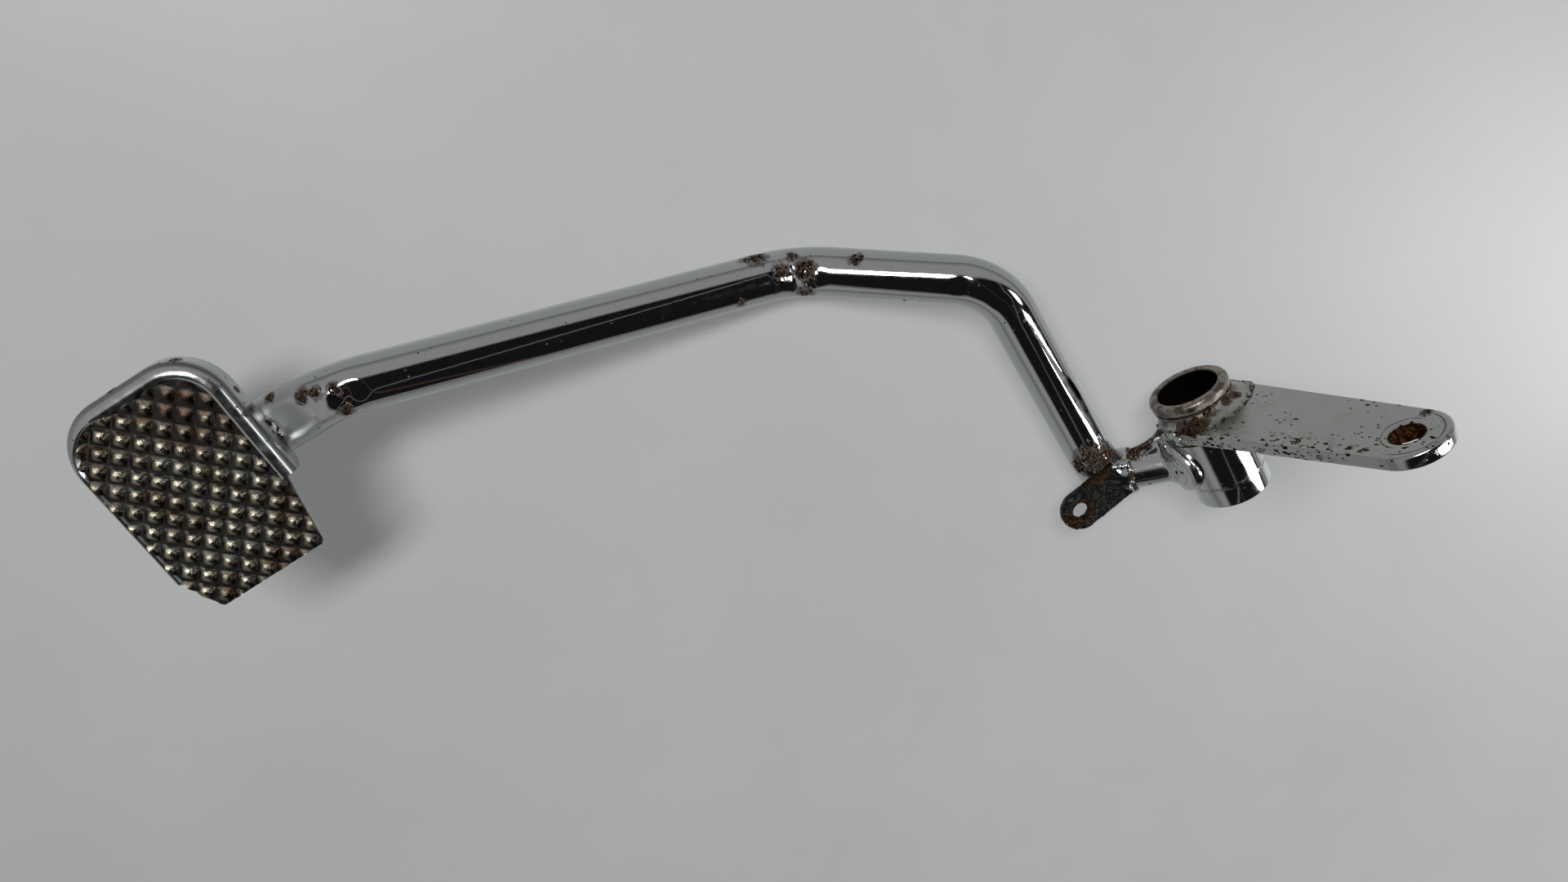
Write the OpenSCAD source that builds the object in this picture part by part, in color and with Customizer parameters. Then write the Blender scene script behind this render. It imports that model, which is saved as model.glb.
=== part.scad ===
// Rear brake pedal of a motorbike: a bent steel tube between a pivot sleeve and a pressed foot pad.
// Frame: origin on the pivot axis at half the sleeve's length, +X forward, +Y inboard, +Z up.

/* [Pivot sleeve] */
// Bore for the pivot shaft
bore_d = 16.4; // [14:0.1:18]
// Outside diameter of the sleeve
sleeve_d = 22; // [20:0.5:26]
// Length of the sleeve along the pivot axis
sleeve_len = 36; // [30:1:46]
// Outside diameter of the collar at the outboard mouth
collar_d = 22.6; // [22.4:0.2:27]
// Length of the collar
collar_len = 3; // [2:0.25:4]
// Rounding of the collar's outer edge
collar_round = 1.3; // [0.6:0.1:1.4]
// Rounding of the bore's edge at the mouth
mouth_round = 1.4; // [0.4:0.1:1.6]
// Length of the machined band at the inboard end
band_len = 6; // [3:0.5:9]
// Depth to which the band is turned down
band_step = 0.2; // [0.1:0.05:0.5]
// Chamfer at the inboard end of the bore
bore_chamfer = 0.5; // [0.2:0.1:0.8]

/* [Rod lever] */
// Distance from the pivot axis to the rod hole
lever_reach = 67; // [55:1:85]
// Angle of the lever above the forward direction
lever_angle = 108; // [100:1:125]
// Thickness of the lever plate
lever_t = 4; // [3:0.25:6]
// Distance from the sleeve's mouth to the plate's outboard face
lever_setback = 6.5; // [5:0.25:9]
// Width of the plate at the sleeve
lever_root_w = 26; // [24:0.5:32]
// Width of the plate at the eye
lever_eye_w = 19.6; // [16:0.2:24]
// Hole for the brake rod pin
rod_hole_d = 8; // [6:0.25:10]
// Distance from the pivot axis at which the plate starts
lever_start = 5; // [4:0.5:8]

/* [Arm tube] */
// Outside diameter of the tube
tube_d = 14; // [12:0.5:16]
// Wall of the tube
tube_wall = 1.2; // [1:0.1:1.8]
// Elbow corner, forward of the pivot
elbow_x = 29.5; // [28:0.5:38]
// Elbow corner, inboard of the sleeve's middle
elbow_y = 0.5; // [-3:0.5:3]
// Elbow corner, below the pivot
elbow_drop = 15; // [10:0.5:18]
// Centreline radius of the elbow bend
elbow_r = 8; // [7.5:0.25:9]
// Straight length of tube after the elbow
elbow_tail = 1.8; // [1.6:0.2:4]
// Dogleg corner, forward of the pivot
dogleg_x = 31.5; // [28:0.5:40]
// Dogleg corner, outboard of the sleeve's middle
dogleg_out = 71.5; // [60:1:80]
// Dogleg corner, below the pivot
dogleg_drop = 10; // [6:0.5:14]
// Centreline radius of the dogleg bend
dogleg_r = 20; // [16:1:26]
// Dip corner, forward of the pivot
dip_x = 76.5; // [72:0.5:90]
// Dip corner, outboard of the sleeve's middle
dip_out = 101; // [94:0.5:110]
// Dip corner, below the pivot
dip_drop = 27; // [20:0.5:32]
// Centreline radius of the dip bend
dip_r = 34; // [26:1:44]
// Depth of the kink pressed into the top of the dip bend
kink_depth = 0.8; // [0:0.1:1.2]
// Distance from the rear edge of the pad back to the last corner of the tube
last_corner_back = 17.4; // [15:0.2:26]
// Height of the last corner above the middle of the pinched end
last_rise = 4; // [0:0.5:6]
// Shift of the last corner inboard of the pinched end
last_in = 0.4; // [0:0.1:4]
// Centreline radius of the last bend
last_r = 24; // [18:1:30]
// Height of the pinched end under the pad
pinch_h = 10; // [8:0.5:12]
// Width of the pinched end under the pad
pinch_w = 15.4; // [15:0.1:18]
// Distance from the outboard edge of the pad to the middle of the tube
pad_seat = 27.9; // [24:0.1:34]
// Distance from the pinched end to the front edge of the pad
end_setback = 5; // [4:0.5:10]

/* [Arm stub] */
// Diameter of the stub between tube and sleeve
stub_d = 11.4; // [9:0.1:11.4]
// Distance from the sleeve's middle, inboard, at which the stub meets the pivot axis
stub_aim_y = 6; // [2:0.5:7]
// Width of the web between stub and sleeve
web_w = 7; // [5:0.5:9]
// Rise of the web over the stub at its elbow end
web_lift = 1; // [0:0.25:2]

/* [Spring tab] */
// Width of the tab
tab_w = 12; // [11:0.5:16]
// Thickness of the tab
tab_t = 2.5; // [2:0.25:3.5]
// Distance from the elbow corner to the spring hole
tab_reach = 12.4; // [11:0.1:15]
// Angle of the tab inboard of the forward direction
tab_angle = 8; // [0:1:20]
// Depth of the tab in the top of the tube
tab_sink = 0.7; // [0.3:0.1:1]
// Spring hole
spring_hole_d = 4.8; // [3.5:0.1:6]

/* [Foot pad] */
// Rear edge of the pad, forward of the pivot
pad_rear_x = 207.4; // [200:0.2:230]
// Length of the pad, rear to front
pad_len = 42.8; // [38:0.2:50]
// Outboard edge of the pad, outboard of the sleeve's middle
pad_out = 173.3; // [168:0.2:180]
// Width of the pad, with its tongue
pad_w = 57.4; // [54:0.2:66]
// Height of the pad's rim above the pivot
pad_top = 15.6; // [8:0.2:20]
// Depth of the turned-down flange
flange_h = 7.2; // [6:0.2:10]
// Sheet thickness of the pad
sheet_t = 2.8; // [2.4:0.1:3.2]
// Outside radius of the fold
fold_r = 3.4; // [3.4:0.1:4.4]
// Corner radius at the inboard ends of the flange
flange_end_r = 4; // [2:0.5:5]
// Corner radius at the rear outboard corner
rear_corner_r = 13.5; // [10:0.5:15]
// Corner radius at the front outboard corner
front_corner_r = 14; // [9:0.5:16]
// Length of the tongue past the end of the rear flange
tongue_rear = 18.8; // [15:0.2:24]
// Length of the tongue past the end of the front flange
tongue_front = 10.4; // [9:0.2:16]
// Step from the rear edge of the pad in to the tongue
tongue_step = 3.2; // [1:0.1:4]
// Inset of the tongue's rear corner
tongue_rear_in = 6.5; // [3:0.25:8]
// Inset of the tongue's front corner
tongue_front_in = 5.5; // [3:0.25:8]

/* [Tread] */
// Pitch of the pyramids
pitch = 4.5; // [4:0.1:6]
// Height of the pyramids
pyramid_h = 1.2; // [0.8:0.1:1.2]
// Flat left on top of each pyramid
pyramid_flat = 0.5; // [0.3:0.1:1]
// Depth of the tread's top below the rim
tread_sink = 0.4; // [0.2:0.1:0.5]
// Plain margin along the rear and outboard folds
tread_margin = 3.6; // [3:0.1:5]
// Plain margin along the front fold
front_margin = 1.4; // [1:0.1:3]
// Forward shift of the pyramids from the middle of the pad
tread_shift_x = 3.9; // [0:0.1:6.5]
// Distance from the outboard edge to the row of pyramids that fixes the pattern
tread_shift_y = 26.6; // [24:0.1:30.5]

/* [Weld beads] */
// Reach of the outer bead over the lever
lever_bead = 5.5; // [3:0.25:6]
// Reach of the inner bead over the lever
back_bead = 3; // [2:0.25:4]
// Section radius of the bead round the stub
stub_bead_r = 2.6; // [1.5:0.1:3]
// Leg of the bead at the seam between tube and stub
seam_bead = 1.1; // [0.6:0.1:1.3]
// Section of the bead along the pad's rear edge
pad_bead = 1.6; // [1:0.1:2]

/* [Hidden] */
$fn = 72;

// Clearance left where one solid enters or crosses another
clear = 0.4;
// How far a cutting shape runs past the face that it cuts
over = 1;
// Sides of the tube's section and steps of its bends
sides = 28;
bend_steps = 8;
kink_spread = 2;

bore_r = bore_d / 2;
sleeve_r = sleeve_d / 2;
collar_r = collar_d / 2;
tube_r = tube_d / 2;
stub_r = stub_d / 2;
mouth_y = -sleeve_len / 2;

// Lever plate: outboard face, taper and tangent points of its outline
lever_y = mouth_y + lever_setback;
eye_r = lever_eye_w / 2;
root_r = lever_root_w / 2;
taper = asin((root_r - eye_r) / lever_reach);

// Pad: edges and levels
pad_front_x = pad_rear_x + pad_len;
pad_out_y = -pad_out;
pad_tip_y = pad_out_y + pad_w;
rear_end_y = pad_tip_y - tongue_rear;
front_end_y = pad_tip_y - tongue_front;
flange_z = pad_top - flange_h;
tread_top = pad_top - tread_sink;

// Corners of the tube's centreline, from the stub to the pinched end
seat_y = pad_out_y + pad_seat;
seat_z = flange_z - pinch_h / 2;
stub_aim = [0, stub_aim_y, 0];
elbow = [elbow_x, elbow_y, -elbow_drop];
dogleg = [dogleg_x, -dogleg_out, -dogleg_drop];
dip = [dip_x, -dip_out, -dip_drop];
last = [pad_rear_x - last_corner_back, seat_y + last_in, seat_z + last_rise];
pinched = [pad_rear_x - pad_bead - clear, seat_y, seat_z];
tube_end = [pad_front_x - end_setback, seat_y, seat_z];

function unit(v) = v / norm(v);
function turn_at(a, b, c) = 180 - acos(unit(a - b) * unit(c - b));
function run_at(a, b, c, r) = r * tan(turn_at(a, b, c) / 2);
function smooth(t) = t * t * (3 - 2 * t);
function arc(c, r, from, to, n) = [for (k = [0:n]) let (t = from + (to - from) * k / n)
    [c.x + r * cos(t), c.y + r * sin(t)]];

stub_dir = unit(stub_aim - elbow);
seam_run = run_at(stub_aim, elbow, dogleg, elbow_r) + elbow_tail;
seam = elbow + stub_dir * seam_run;
meet_run = norm(stub_aim - elbow) - sleeve_r;

// A station of the tube is its point, its direction, how far it is pinched, and the kink's depth
function bend(a, b, c, r, kink = 0) = let (
        u = unit(a - b), w = unit(c - b), turn = turn_at(a, b, c),
        middle = b + unit(u + w) * r / cos(turn / 2),
        out = unit(b + u * r * tan(turn / 2) - middle))
    [for (k = [0:bend_steps]) let (t = turn * k / bend_steps)
        [middle + r * (out * cos(t) - u * sin(t)), unit(-u * cos(t) - out * sin(t)), 0,
         kink * max(0, 1 - abs(k - bend_steps / 2) / kink_spread)]];

function pinch_run() = let (
        from = last + unit(pinched - last) * run_at(dip, last, pinched, last_r))
    [for (k = [1:bend_steps]) let (t = k / bend_steps)
        [from + (pinched - from) * t, k < bend_steps ? unit(pinched - last) : [1, 0, 0], smooth(t), 0]];

elbow_stations = concat([[seam, -stub_dir, 0, 0]], bend(seam, elbow, dogleg, elbow_r));
stations = concat(elbow_stations, bend(elbow, dogleg, dip, dogleg_r),
    bend(dogleg, dip, last, dip_r, kink_depth), bend(dip, last, pinched, last_r),
    pinch_run(), [[tube_end, [1, 0, 0], 1, 0]]);

// One ring of the tube's skin, an oval with straight flanks where the tube is pinched
function ring(s, inset) = let (
        side = unit(cross([0, 0, 1], s[1])), up = cross(s[1], side),
        half_h = tube_r + s[2] * (pinch_h / 2 / cos(180 / sides) - tube_r),
        half_w = tube_r + s[2] * (pinch_w / 2 - tube_r),
        b = half_h - inset, flank = half_w - half_h)
    [for (j = [0:sides - 1]) let (t = (j + 0.5) * 360 / sides)
        s[0] + side * (b * cos(t) + flank * sign(cos(t)))
             + up * (b * sin(t) - s[3] * pow(max(0, sin(t)), 3))];

function flat(lists) = [for (l = lists) for (p = l) p];
function strip(first, second, flip) = [for (j = [0:sides - 1]) let (k = (j + 1) % sides)
    each flip ? [[first + j, first + k, second + k], [first + j, second + k, second + j]]
              : [[first + j, second + k, first + k], [first + j, second + j, second + k]]];

// A tube along stations, open at both ends
module tube_along(st, wall) {
    n = len(st);
    inner = n * sides;
    polyhedron(flat(concat([for (s = st) ring(s, 0)], [for (s = st) ring(s, wall)])),
        concat([for (i = [0:n - 2]) each strip(i * sides, (i + 1) * sides, false)],
               [for (i = [0:n - 2]) each strip(inner + i * sides, inner + (i + 1) * sides, true)],
               strip(0, inner, true),
               strip((n - 1) * sides, inner + (n - 1) * sides, false)));
}

// The full space inside the tube's skin along stations
module rod_along(st) {
    n = len(st);
    polyhedron(flat([for (s = st) ring(s, 0)]),
        concat([for (i = [0:n - 2]) each strip(i * sides, (i + 1) * sides, false)],
               [[for (j = [0:sides - 1]) j]],
               [[for (j = [sides - 1:-1:0]) (n - 1) * sides + j]]));
}

// Local frames
module at_mouth() {
    translate([0, mouth_y, 0]) rotate([-90, 0, 0]) children();
}
module in_lever(y) {
    translate([0, y, 0]) rotate([-90, 0, 0]) rotate([0, 0, -lever_angle]) children();
}
module along_stub(run) {
    translate(elbow + stub_dir * run)
        rotate([0, acos(stub_dir.z), atan2(stub_dir.y, stub_dir.x)]) children();
}

// Turned sleeve with its collar and bore
module sleeve_profile() {
    edge = min(collar_round, collar_r - sleeve_r);
    end_r = sleeve_r - band_step;
    polygon(concat(
        arc([bore_r + mouth_round, mouth_round], mouth_round, 180, 270, 6),
        arc([collar_r - collar_round, collar_round], collar_round, -90, 0, 6),
        arc([collar_r - edge, collar_len - edge], edge, 0, 90, 6),
        [[sleeve_r, collar_len], [sleeve_r, sleeve_len - band_len], [end_r, sleeve_len - band_len],
         [end_r, sleeve_len - bore_chamfer], [end_r - bore_chamfer, sleeve_len],
         [bore_r + bore_chamfer, sleeve_len], [bore_r, sleeve_len - bore_chamfer]]));
}
module pivot_sleeve() {
    color("silver") at_mouth() rotate_extrude() sleeve_profile();
}
module sleeve_space() {
    at_mouth() translate([0, 0, -over]) cylinder(h = sleeve_len + 2 * over, r = sleeve_r);
}

// Flat tapered lever, coped to the sleeve
module lever_outline() {
    difference() {
        polygon(concat(arc([lever_reach, 0], eye_r, taper - 90, 90 - taper, 32),
            [[root_r * sin(taper), root_r * cos(taper)], [root_r * sin(taper), -root_r * cos(taper)]]));
        translate([lever_start - lever_root_w, -lever_root_w]) square([lever_root_w, 2 * lever_root_w]);
    }
}
module rod_lever() {
    color("darkgray") difference() {
        in_lever(lever_y) linear_extrude(lever_t) lever_outline();
        in_lever(lever_y - over) translate([lever_reach, 0, 0])
            cylinder(h = lever_t + 2 * over, d = rod_hole_d);
        sleeve_space();
    }
}

// Hollow beads on both faces of the lever, along the sleeve
module bead_ring(leg, height) {
    rotate_extrude() polygon(concat([[sleeve_r, 0]],
        [for (k = [0:6]) let (t = 90 * k / 6)
            [sleeve_r + leg * (1 - sin(t)), height * (1 - cos(t))]]));
}
module lever_weld() {
    height = lever_setback - collar_len;
    color("gray") intersection() {
        translate([0, lever_y, 0]) rotate([90, 0, 0]) bead_ring(lever_bead, height);
        in_lever(lever_y - height - over) linear_extrude(height + over) lever_outline();
    }
}
module lever_back_weld() {
    color("gray") intersection() {
        translate([0, lever_y + lever_t, 0]) rotate([-90, 0, 0]) bead_ring(back_bead, back_bead);
        in_lever(lever_y + lever_t) linear_extrude(back_bead + over) lever_outline();
    }
}

// Bent tube, kinked at the dip and pinched at the pad
module arm_tube() {
    color("silver") tube_along(stations, tube_wall);
}

// Stub plugged into the tube, with a web that rises to the neck of the sleeve
module web_profile() {
    neck = elbow_y + stub_dir.y * meet_run - stub_r - mouth_y - collar_len - clear;
    fillet = min(neck - web_lift, meet_run - seam_run - seam_bead - clear);
    top = stub_r + web_lift + fillet;
    difference() {
        translate([meet_run - fillet, 0]) square([fillet + sleeve_r / 2, top]);
        translate([meet_run - fillet, top]) circle(fillet);
    }
}
module web() {
    outward = unit([0, -1, 0] - stub_dir * (-stub_dir.y));
    across = cross(stub_dir, outward);
    multmatrix([[stub_dir.x, outward.x, across.x, elbow.x],
                [stub_dir.y, outward.y, across.y, elbow.y],
                [stub_dir.z, outward.z, across.z, elbow.z]])
        translate([0, 0, -web_w / 2]) linear_extrude(web_w) web_profile();
}
module arm_stub() {
    plug_run = seam_run - elbow_tail + clear;
    color("silver") difference() {
        union() {
            along_stub(plug_run) cylinder(h = norm(stub_aim - elbow) - plug_run, r = stub_r);
            web();
        }
        sleeve_space();
    }
}
module stub_weld() {
    color("silver") difference() {
        along_stub(meet_run) rotate_extrude() intersection() {
            translate([stub_r, 0]) circle(stub_bead_r);
            translate([stub_r, -2 * stub_bead_r]) square(4 * stub_bead_r);
        }
        sleeve_space();
        web();
    }
}
module seam_weld() {
    color("saddlebrown") along_stub(seam_run) rotate_extrude()
        polygon(concat([[stub_r, 0]], [for (k = [0:4]) let (t = 90 * k / 4)
            [stub_r + seam_bead * cos(t), seam_bead * sin(t)]]));
}

// Spring tab on top of the elbow, coped to the tube
module tab_outline() {
    translate([tab_reach, 0]) circle(d = tab_w);
    translate([-over, -tab_w / 2]) square([tab_reach + over, tab_w]);
}
module spring_tab() {
    color("dimgray") difference() {
        translate(elbow + [0, 0, tube_r - tab_sink]) rotate([0, 0, tab_angle]) difference() {
            linear_extrude(tab_t) tab_outline();
            translate([tab_reach, 0, -over]) cylinder(h = tab_t + 2 * over, d = spring_hole_d);
        }
        rod_along(elbow_stations);
    }
}

// Pressed pad: a folded shell with a flat tongue, its top cut into pyramids
module fold_disc(r, fold, h, z) {
    translate([0, 0, z]) rotate_extrude($fn = 40)
        polygon(concat([[0, 0], [r, 0]], arc([r - fold, h - fold], fold, 0, 90, 5), [[0, h]]));
}
module folded_block(inset, drop) {
    fold = fold_r - inset;
    h = flange_h - inset + drop;
    hull() {
        translate([pad_rear_x + rear_corner_r, pad_out_y + rear_corner_r])
            fold_disc(rear_corner_r - inset, fold, h, flange_z - drop);
        translate([pad_front_x - front_corner_r, pad_out_y + front_corner_r])
            fold_disc(front_corner_r - inset, fold, h, flange_z - drop);
        for (x = [pad_rear_x + rear_corner_r, pad_front_x - rear_corner_r])
            translate([x, pad_tip_y])
                fold_disc(rear_corner_r - inset, fold, h, flange_z - drop);
    }
}
module flange_plan() {
    polygon([[pad_rear_x - over, pad_out_y - over], [pad_front_x + over, pad_out_y - over],
             [pad_front_x + over, front_end_y], [pad_front_x - fold_r, front_end_y],
             [pad_rear_x + fold_r, rear_end_y], [pad_rear_x - over, rear_end_y]]);
}
module flange_corner(x, y) {
    translate([x, y, flange_z]) rotate([90, 0, 90]) linear_extrude(fold_r + over) difference() {
        translate([-flange_end_r, -over]) square([flange_end_r + over, flange_end_r + over]);
        translate([-flange_end_r, flange_end_r]) circle(flange_end_r);
    }
}
module tongue_plan() {
    polygon([[pad_rear_x + fold_r, rear_end_y - fold_r], [pad_rear_x + tongue_step, rear_end_y],
             [pad_rear_x + tongue_rear_in, pad_tip_y],
             [pad_front_x - tongue_front_in, pad_tip_y],
             [pad_front_x - tongue_front_in / 2, front_end_y + tongue_step],
             [pad_front_x - fold_r / 2, front_end_y], [pad_front_x - fold_r, front_end_y - fold_r]]);
}
module tread_plan() {
    rear_r = rear_corner_r - tread_margin;
    front_r = front_corner_r - tread_margin;
    polygon(concat(
        arc([pad_rear_x + rear_corner_r, pad_out_y + rear_corner_r], rear_r, 180, 270, 8),
        arc([pad_front_x - front_margin - front_r, pad_out_y + front_corner_r], front_r, 270, 360, 8),
        [[pad_front_x - front_margin, front_end_y], [pad_front_x + over, front_end_y],
         [pad_front_x + over, pad_tip_y + over], [pad_rear_x - over, pad_tip_y + over],
         [pad_rear_x - over, rear_end_y], [pad_rear_x + tread_margin, rear_end_y]]));
}
module grooves() {
    w = pitch - pyramid_flat;
    reach = norm([pad_len, pad_w]);
    count = ceil(reach / 2 / pitch);
    translate([pad_rear_x + pad_len / 2 + tread_shift_x, pad_out_y + tread_shift_y, tread_top])
        for (turn = [-45, 45], k = [-count:count])
            rotate([0, 0, turn]) translate([-reach, (k + 0.5) * pitch, 0]) rotate([90, 0, 90])
                linear_extrude(2 * reach)
                    polygon([[-w / 2, over], [-w / 2, 0], [0, -pyramid_h], [w / 2, 0], [w / 2, over]]);
}
module foot_pad() {
    color("silver") difference() {
        union() {
            difference() {
                intersection() {
                    folded_block(0, 0);
                    translate([0, 0, flange_z]) linear_extrude(flange_h + over) flange_plan();
                }
                folded_block(sheet_t, over);
                flange_corner(pad_rear_x - over, rear_end_y);
                flange_corner(pad_front_x - fold_r, front_end_y);
            }
            translate([0, 0, pad_top - sheet_t]) linear_extrude(sheet_t) tongue_plan();
        }
        translate([0, 0, tread_top]) linear_extrude(over) tread_plan();
        intersection() {
            translate([0, 0, tread_top - pyramid_h - over]) linear_extrude(pyramid_h + 2 * over) tread_plan();
            grooves();
        }
    }
}

// Bead along the rear edge of the pad, on the flat of the pinched tube
module pad_weld() {
    bead_w = pinch_w - pinch_h;
    color("saddlebrown") translate([pad_rear_x, seat_y + bead_w / 2, flange_z]) rotate([90, 0, 0])
        linear_extrude(bead_w) intersection() {
            circle(pad_bead);
            translate([-pad_bead, 0]) square(pad_bead);
        }
}

pivot_sleeve();
rod_lever();
arm_tube();
arm_stub();
spring_tab();
foot_pad();
lever_weld();
lever_back_weld();
stub_weld();
seam_weld();
pad_weld();
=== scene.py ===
import math

import bmesh
import bpy
from mathutils import Euler, Matrix, Vector, noise


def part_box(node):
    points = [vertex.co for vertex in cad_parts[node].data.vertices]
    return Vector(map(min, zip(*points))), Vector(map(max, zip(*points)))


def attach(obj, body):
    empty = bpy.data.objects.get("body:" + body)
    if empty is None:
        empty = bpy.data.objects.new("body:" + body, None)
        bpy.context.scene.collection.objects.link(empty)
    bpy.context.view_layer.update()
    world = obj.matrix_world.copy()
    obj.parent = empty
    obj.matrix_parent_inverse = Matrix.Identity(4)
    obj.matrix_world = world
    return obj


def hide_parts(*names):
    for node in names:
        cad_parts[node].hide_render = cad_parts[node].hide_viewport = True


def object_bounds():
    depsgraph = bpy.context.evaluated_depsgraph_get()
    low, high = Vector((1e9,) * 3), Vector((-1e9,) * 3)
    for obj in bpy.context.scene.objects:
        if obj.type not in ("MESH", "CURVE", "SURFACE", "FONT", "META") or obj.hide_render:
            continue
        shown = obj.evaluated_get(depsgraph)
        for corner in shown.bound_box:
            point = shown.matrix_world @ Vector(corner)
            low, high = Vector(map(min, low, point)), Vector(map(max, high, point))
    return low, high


bl_info = {
    "name": "Rear brake pedal",
    "version": (1, 0, 0),
    "blender": (4, 5, 0),
    "location": "3D View > Sidebar > Pedal",
    "description": "Builds a worn chromed brake pedal around its packed frame, with a small studio",
    "category": "Add Mesh",
}

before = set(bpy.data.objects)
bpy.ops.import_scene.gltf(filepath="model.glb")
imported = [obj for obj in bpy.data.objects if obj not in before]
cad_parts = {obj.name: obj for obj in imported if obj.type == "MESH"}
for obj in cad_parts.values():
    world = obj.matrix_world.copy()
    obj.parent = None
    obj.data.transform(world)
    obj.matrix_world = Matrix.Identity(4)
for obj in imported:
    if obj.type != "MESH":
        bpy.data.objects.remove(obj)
CAD_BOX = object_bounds()

MM = 0.001
UP = Vector((0, 0, 1))
PAD_LOW, PAD_HIGH = (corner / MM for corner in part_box("foot_pad"))
LEVER_LOW, LEVER_HIGH = (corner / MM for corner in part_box("rod_lever"))
SLEEVE_LOW, SLEEVE_HIGH = (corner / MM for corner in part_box("pivot_sleeve"))
FLOOR_GAP = 0.0004
FLOOR_Z = CAD_BOX[0].z - FLOOR_GAP


# Settings

def linear(hex_colour):
    """sRGB hex value as a linear colour with alpha 1."""
    channels = [int(hex_colour[i:i + 2], 16) / 255 for i in (1, 3, 5)]
    return [c / 12.92 if c <= 0.04045 else ((c + 0.055) / 1.055) ** 2.4 for c in channels] + [1.0]


def length(name, text, default):
    return bpy.props.FloatProperty(
        name=name, description=text, default=default, min=0, precision=4, unit="LENGTH")


def place(name, text, default_mm):
    default = [v * MM for v in default_mm]
    return bpy.props.FloatVectorProperty(
        name=name, description=text, default=default, precision=4, unit="LENGTH", subtype="TRANSLATION")


def colour(name, text, hex_colour):
    return bpy.props.FloatVectorProperty(
        name=name, description=text, default=linear(hex_colour), size=4, min=0, max=1, subtype="COLOR")


class PedalSizes(bpy.types.PropertyGroup):
    """Driving sizes of the pedal."""

    tube_d: length("Tube diameter", "Outside diameter of the arm's tube", 0.014)
    tube_wall: length("Tube wall", "Wall of the arm's tube", 0.0012)
    stub_aim: place("Stub aim", "Where the stub's line meets the pivot axis", (0, 6, 0))
    elbow: place("Elbow", "Corner of the centreline beside the sleeve", (29.5, 0.5, -15))
    dogleg: place("Dogleg", "Second corner of the centreline", (31.5, -71.5, -10))
    dip: place("Dip", "Lowest corner of the centreline", (76.5, -101, -27))
    last: place("Last corner", "Corner of the centreline behind the pad", (190, -145, 7.4))
    pinched: place("Pinched", "Where the tube is fully pinched", (205.4, -145.4, 3.4))
    tube_end: place("Tube end", "Open end of the tube under the pad", (245.2, -145.4, 3.4))
    pinch_h: length("Pinched height", "Height of the pinched end", 0.010)
    pinch_w: length("Pinched width", "Width of the pinched end", 0.0154)
    stub_d: length("Stub diameter", "Diameter of the stub at the sleeve", 0.0114)
    bore_d: length("Bore", "Bore for the pivot shaft", 0.0164)
    sleeve_d: length("Sleeve diameter", "Outside diameter of the sleeve", 0.022)
    collar_d: length("Collar diameter", "Outside diameter of the lip at the mouth", 0.0226)
    rod_hole_d: length("Rod hole", "Hole for the brake rod pin", 0.008)
    spring_hole_d: length("Spring hole", "Hole in the spring tab", 0.0048)
    sheet_t: length("Sheet", "Sheet thickness of the foot pad", 0.0028)
    pitch: length("Pitch", "Pitch of the tread's pyramids", 0.0045)
    pyramid_h: length("Pyramid height", "Height of the tread's pyramids", 0.0012)


class PedalColours(bpy.types.PropertyGroup):
    """Colours of the pedal's finishes."""

    chrome: colour("Chrome", "Bright plate", "#b4b6b6")
    dull: colour("Dull plate", "Plate gone dull on the lever", "#a9aba8")
    bare: colour("Bare steel", "Steel worn bare on the sleeve's lip", "#938a82")
    tread: colour("Tread", "Tarnished plate on the tread's tops", "#aaa391")
    grime: colour("Grime", "Greenish grey film on the tread's flanks", "#4a4a44")
    tarnish: colour("Tarnish", "Brown tarnish on the tread's flanks", "#3f3228")
    rust: colour("Rust", "Bright rust", "#56371a")
    old_rust: colour("Old rust", "Dark rust and dirt", "#1c120b")
    # Painted shade: the bore's near black stands for the shade deep inside it
    bore_shade: colour("Bore shade", "Painted shade deep in the bore", "#060504")
    crust: colour("Crust", "Black crust on the spring tab", "#0c0a09")
    floor: colour("Floor", "Pale table top", "#c2c4c3")


def sizes():
    return bpy.context.scene.pedal_sizes


def colours():
    return bpy.context.scene.pedal_colours


def mm(value):
    """A property in metres as millimetres."""
    return value / MM if isinstance(value, float) else Vector(value) / MM


# Nodes

STEP, NOISE, CELLS = "ShaderNodeMapRange", "ShaderNodeTexNoise", "ShaderNodeTexVoronoi"
MIX = "ShaderNodeMix", {"data_type": "RGBA"}
PLUS, MINUS, TIMES, OVER, POWER, TIMES_PLUS, LARGER, MORE_THAN, SIZE_OF = (
    ("ShaderNodeMath", {"operation": name}) for name in (
        "ADD", "SUBTRACT", "MULTIPLY", "DIVIDE", "POWER", "MULTIPLY_ADD", "MAXIMUM", "GREATER_THAN",
        "ABSOLUTE"))
ALL_PLUS, ALL_MINUS, ALL_TIMES, SCALED, DOT, APART, LONG, UNIT = (
    ("ShaderNodeVectorMath", {"operation": name}) for name in (
        "ADD", "SUBTRACT", "MULTIPLY", "SCALE", "DOT_PRODUCT", "DISTANCE", "LENGTH", "NORMALIZE"))
SPLIT, JOIN = "ShaderNodeSeparateXYZ", "ShaderNodeCombineXYZ"


def adder(tree):
    """The function that adds nodes to this tree."""

    def add(kind, *values, named=None, **settings):
        """Values fill a node's open sockets in order, and a node stands for its first open output."""
        kind, preset = kind if isinstance(kind, tuple) else (kind, {})
        node = tree.nodes.new(kind)
        for name, value in {**preset, **settings}.items():
            setattr(node, name, value)
        pairs = list(zip([socket for socket in node.inputs if socket.enabled], values))
        pairs += [(node.inputs[name], value) for name, value in (named or {}).items()]
        for socket, value in pairs:
            if isinstance(value, bpy.types.Node):
                value = next(output for output in value.outputs if output.enabled)
            if isinstance(value, bpy.types.NodeSocket):
                tree.links.new(value, socket)
            else:
                socket.default_value = value
        return node

    return add


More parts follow.
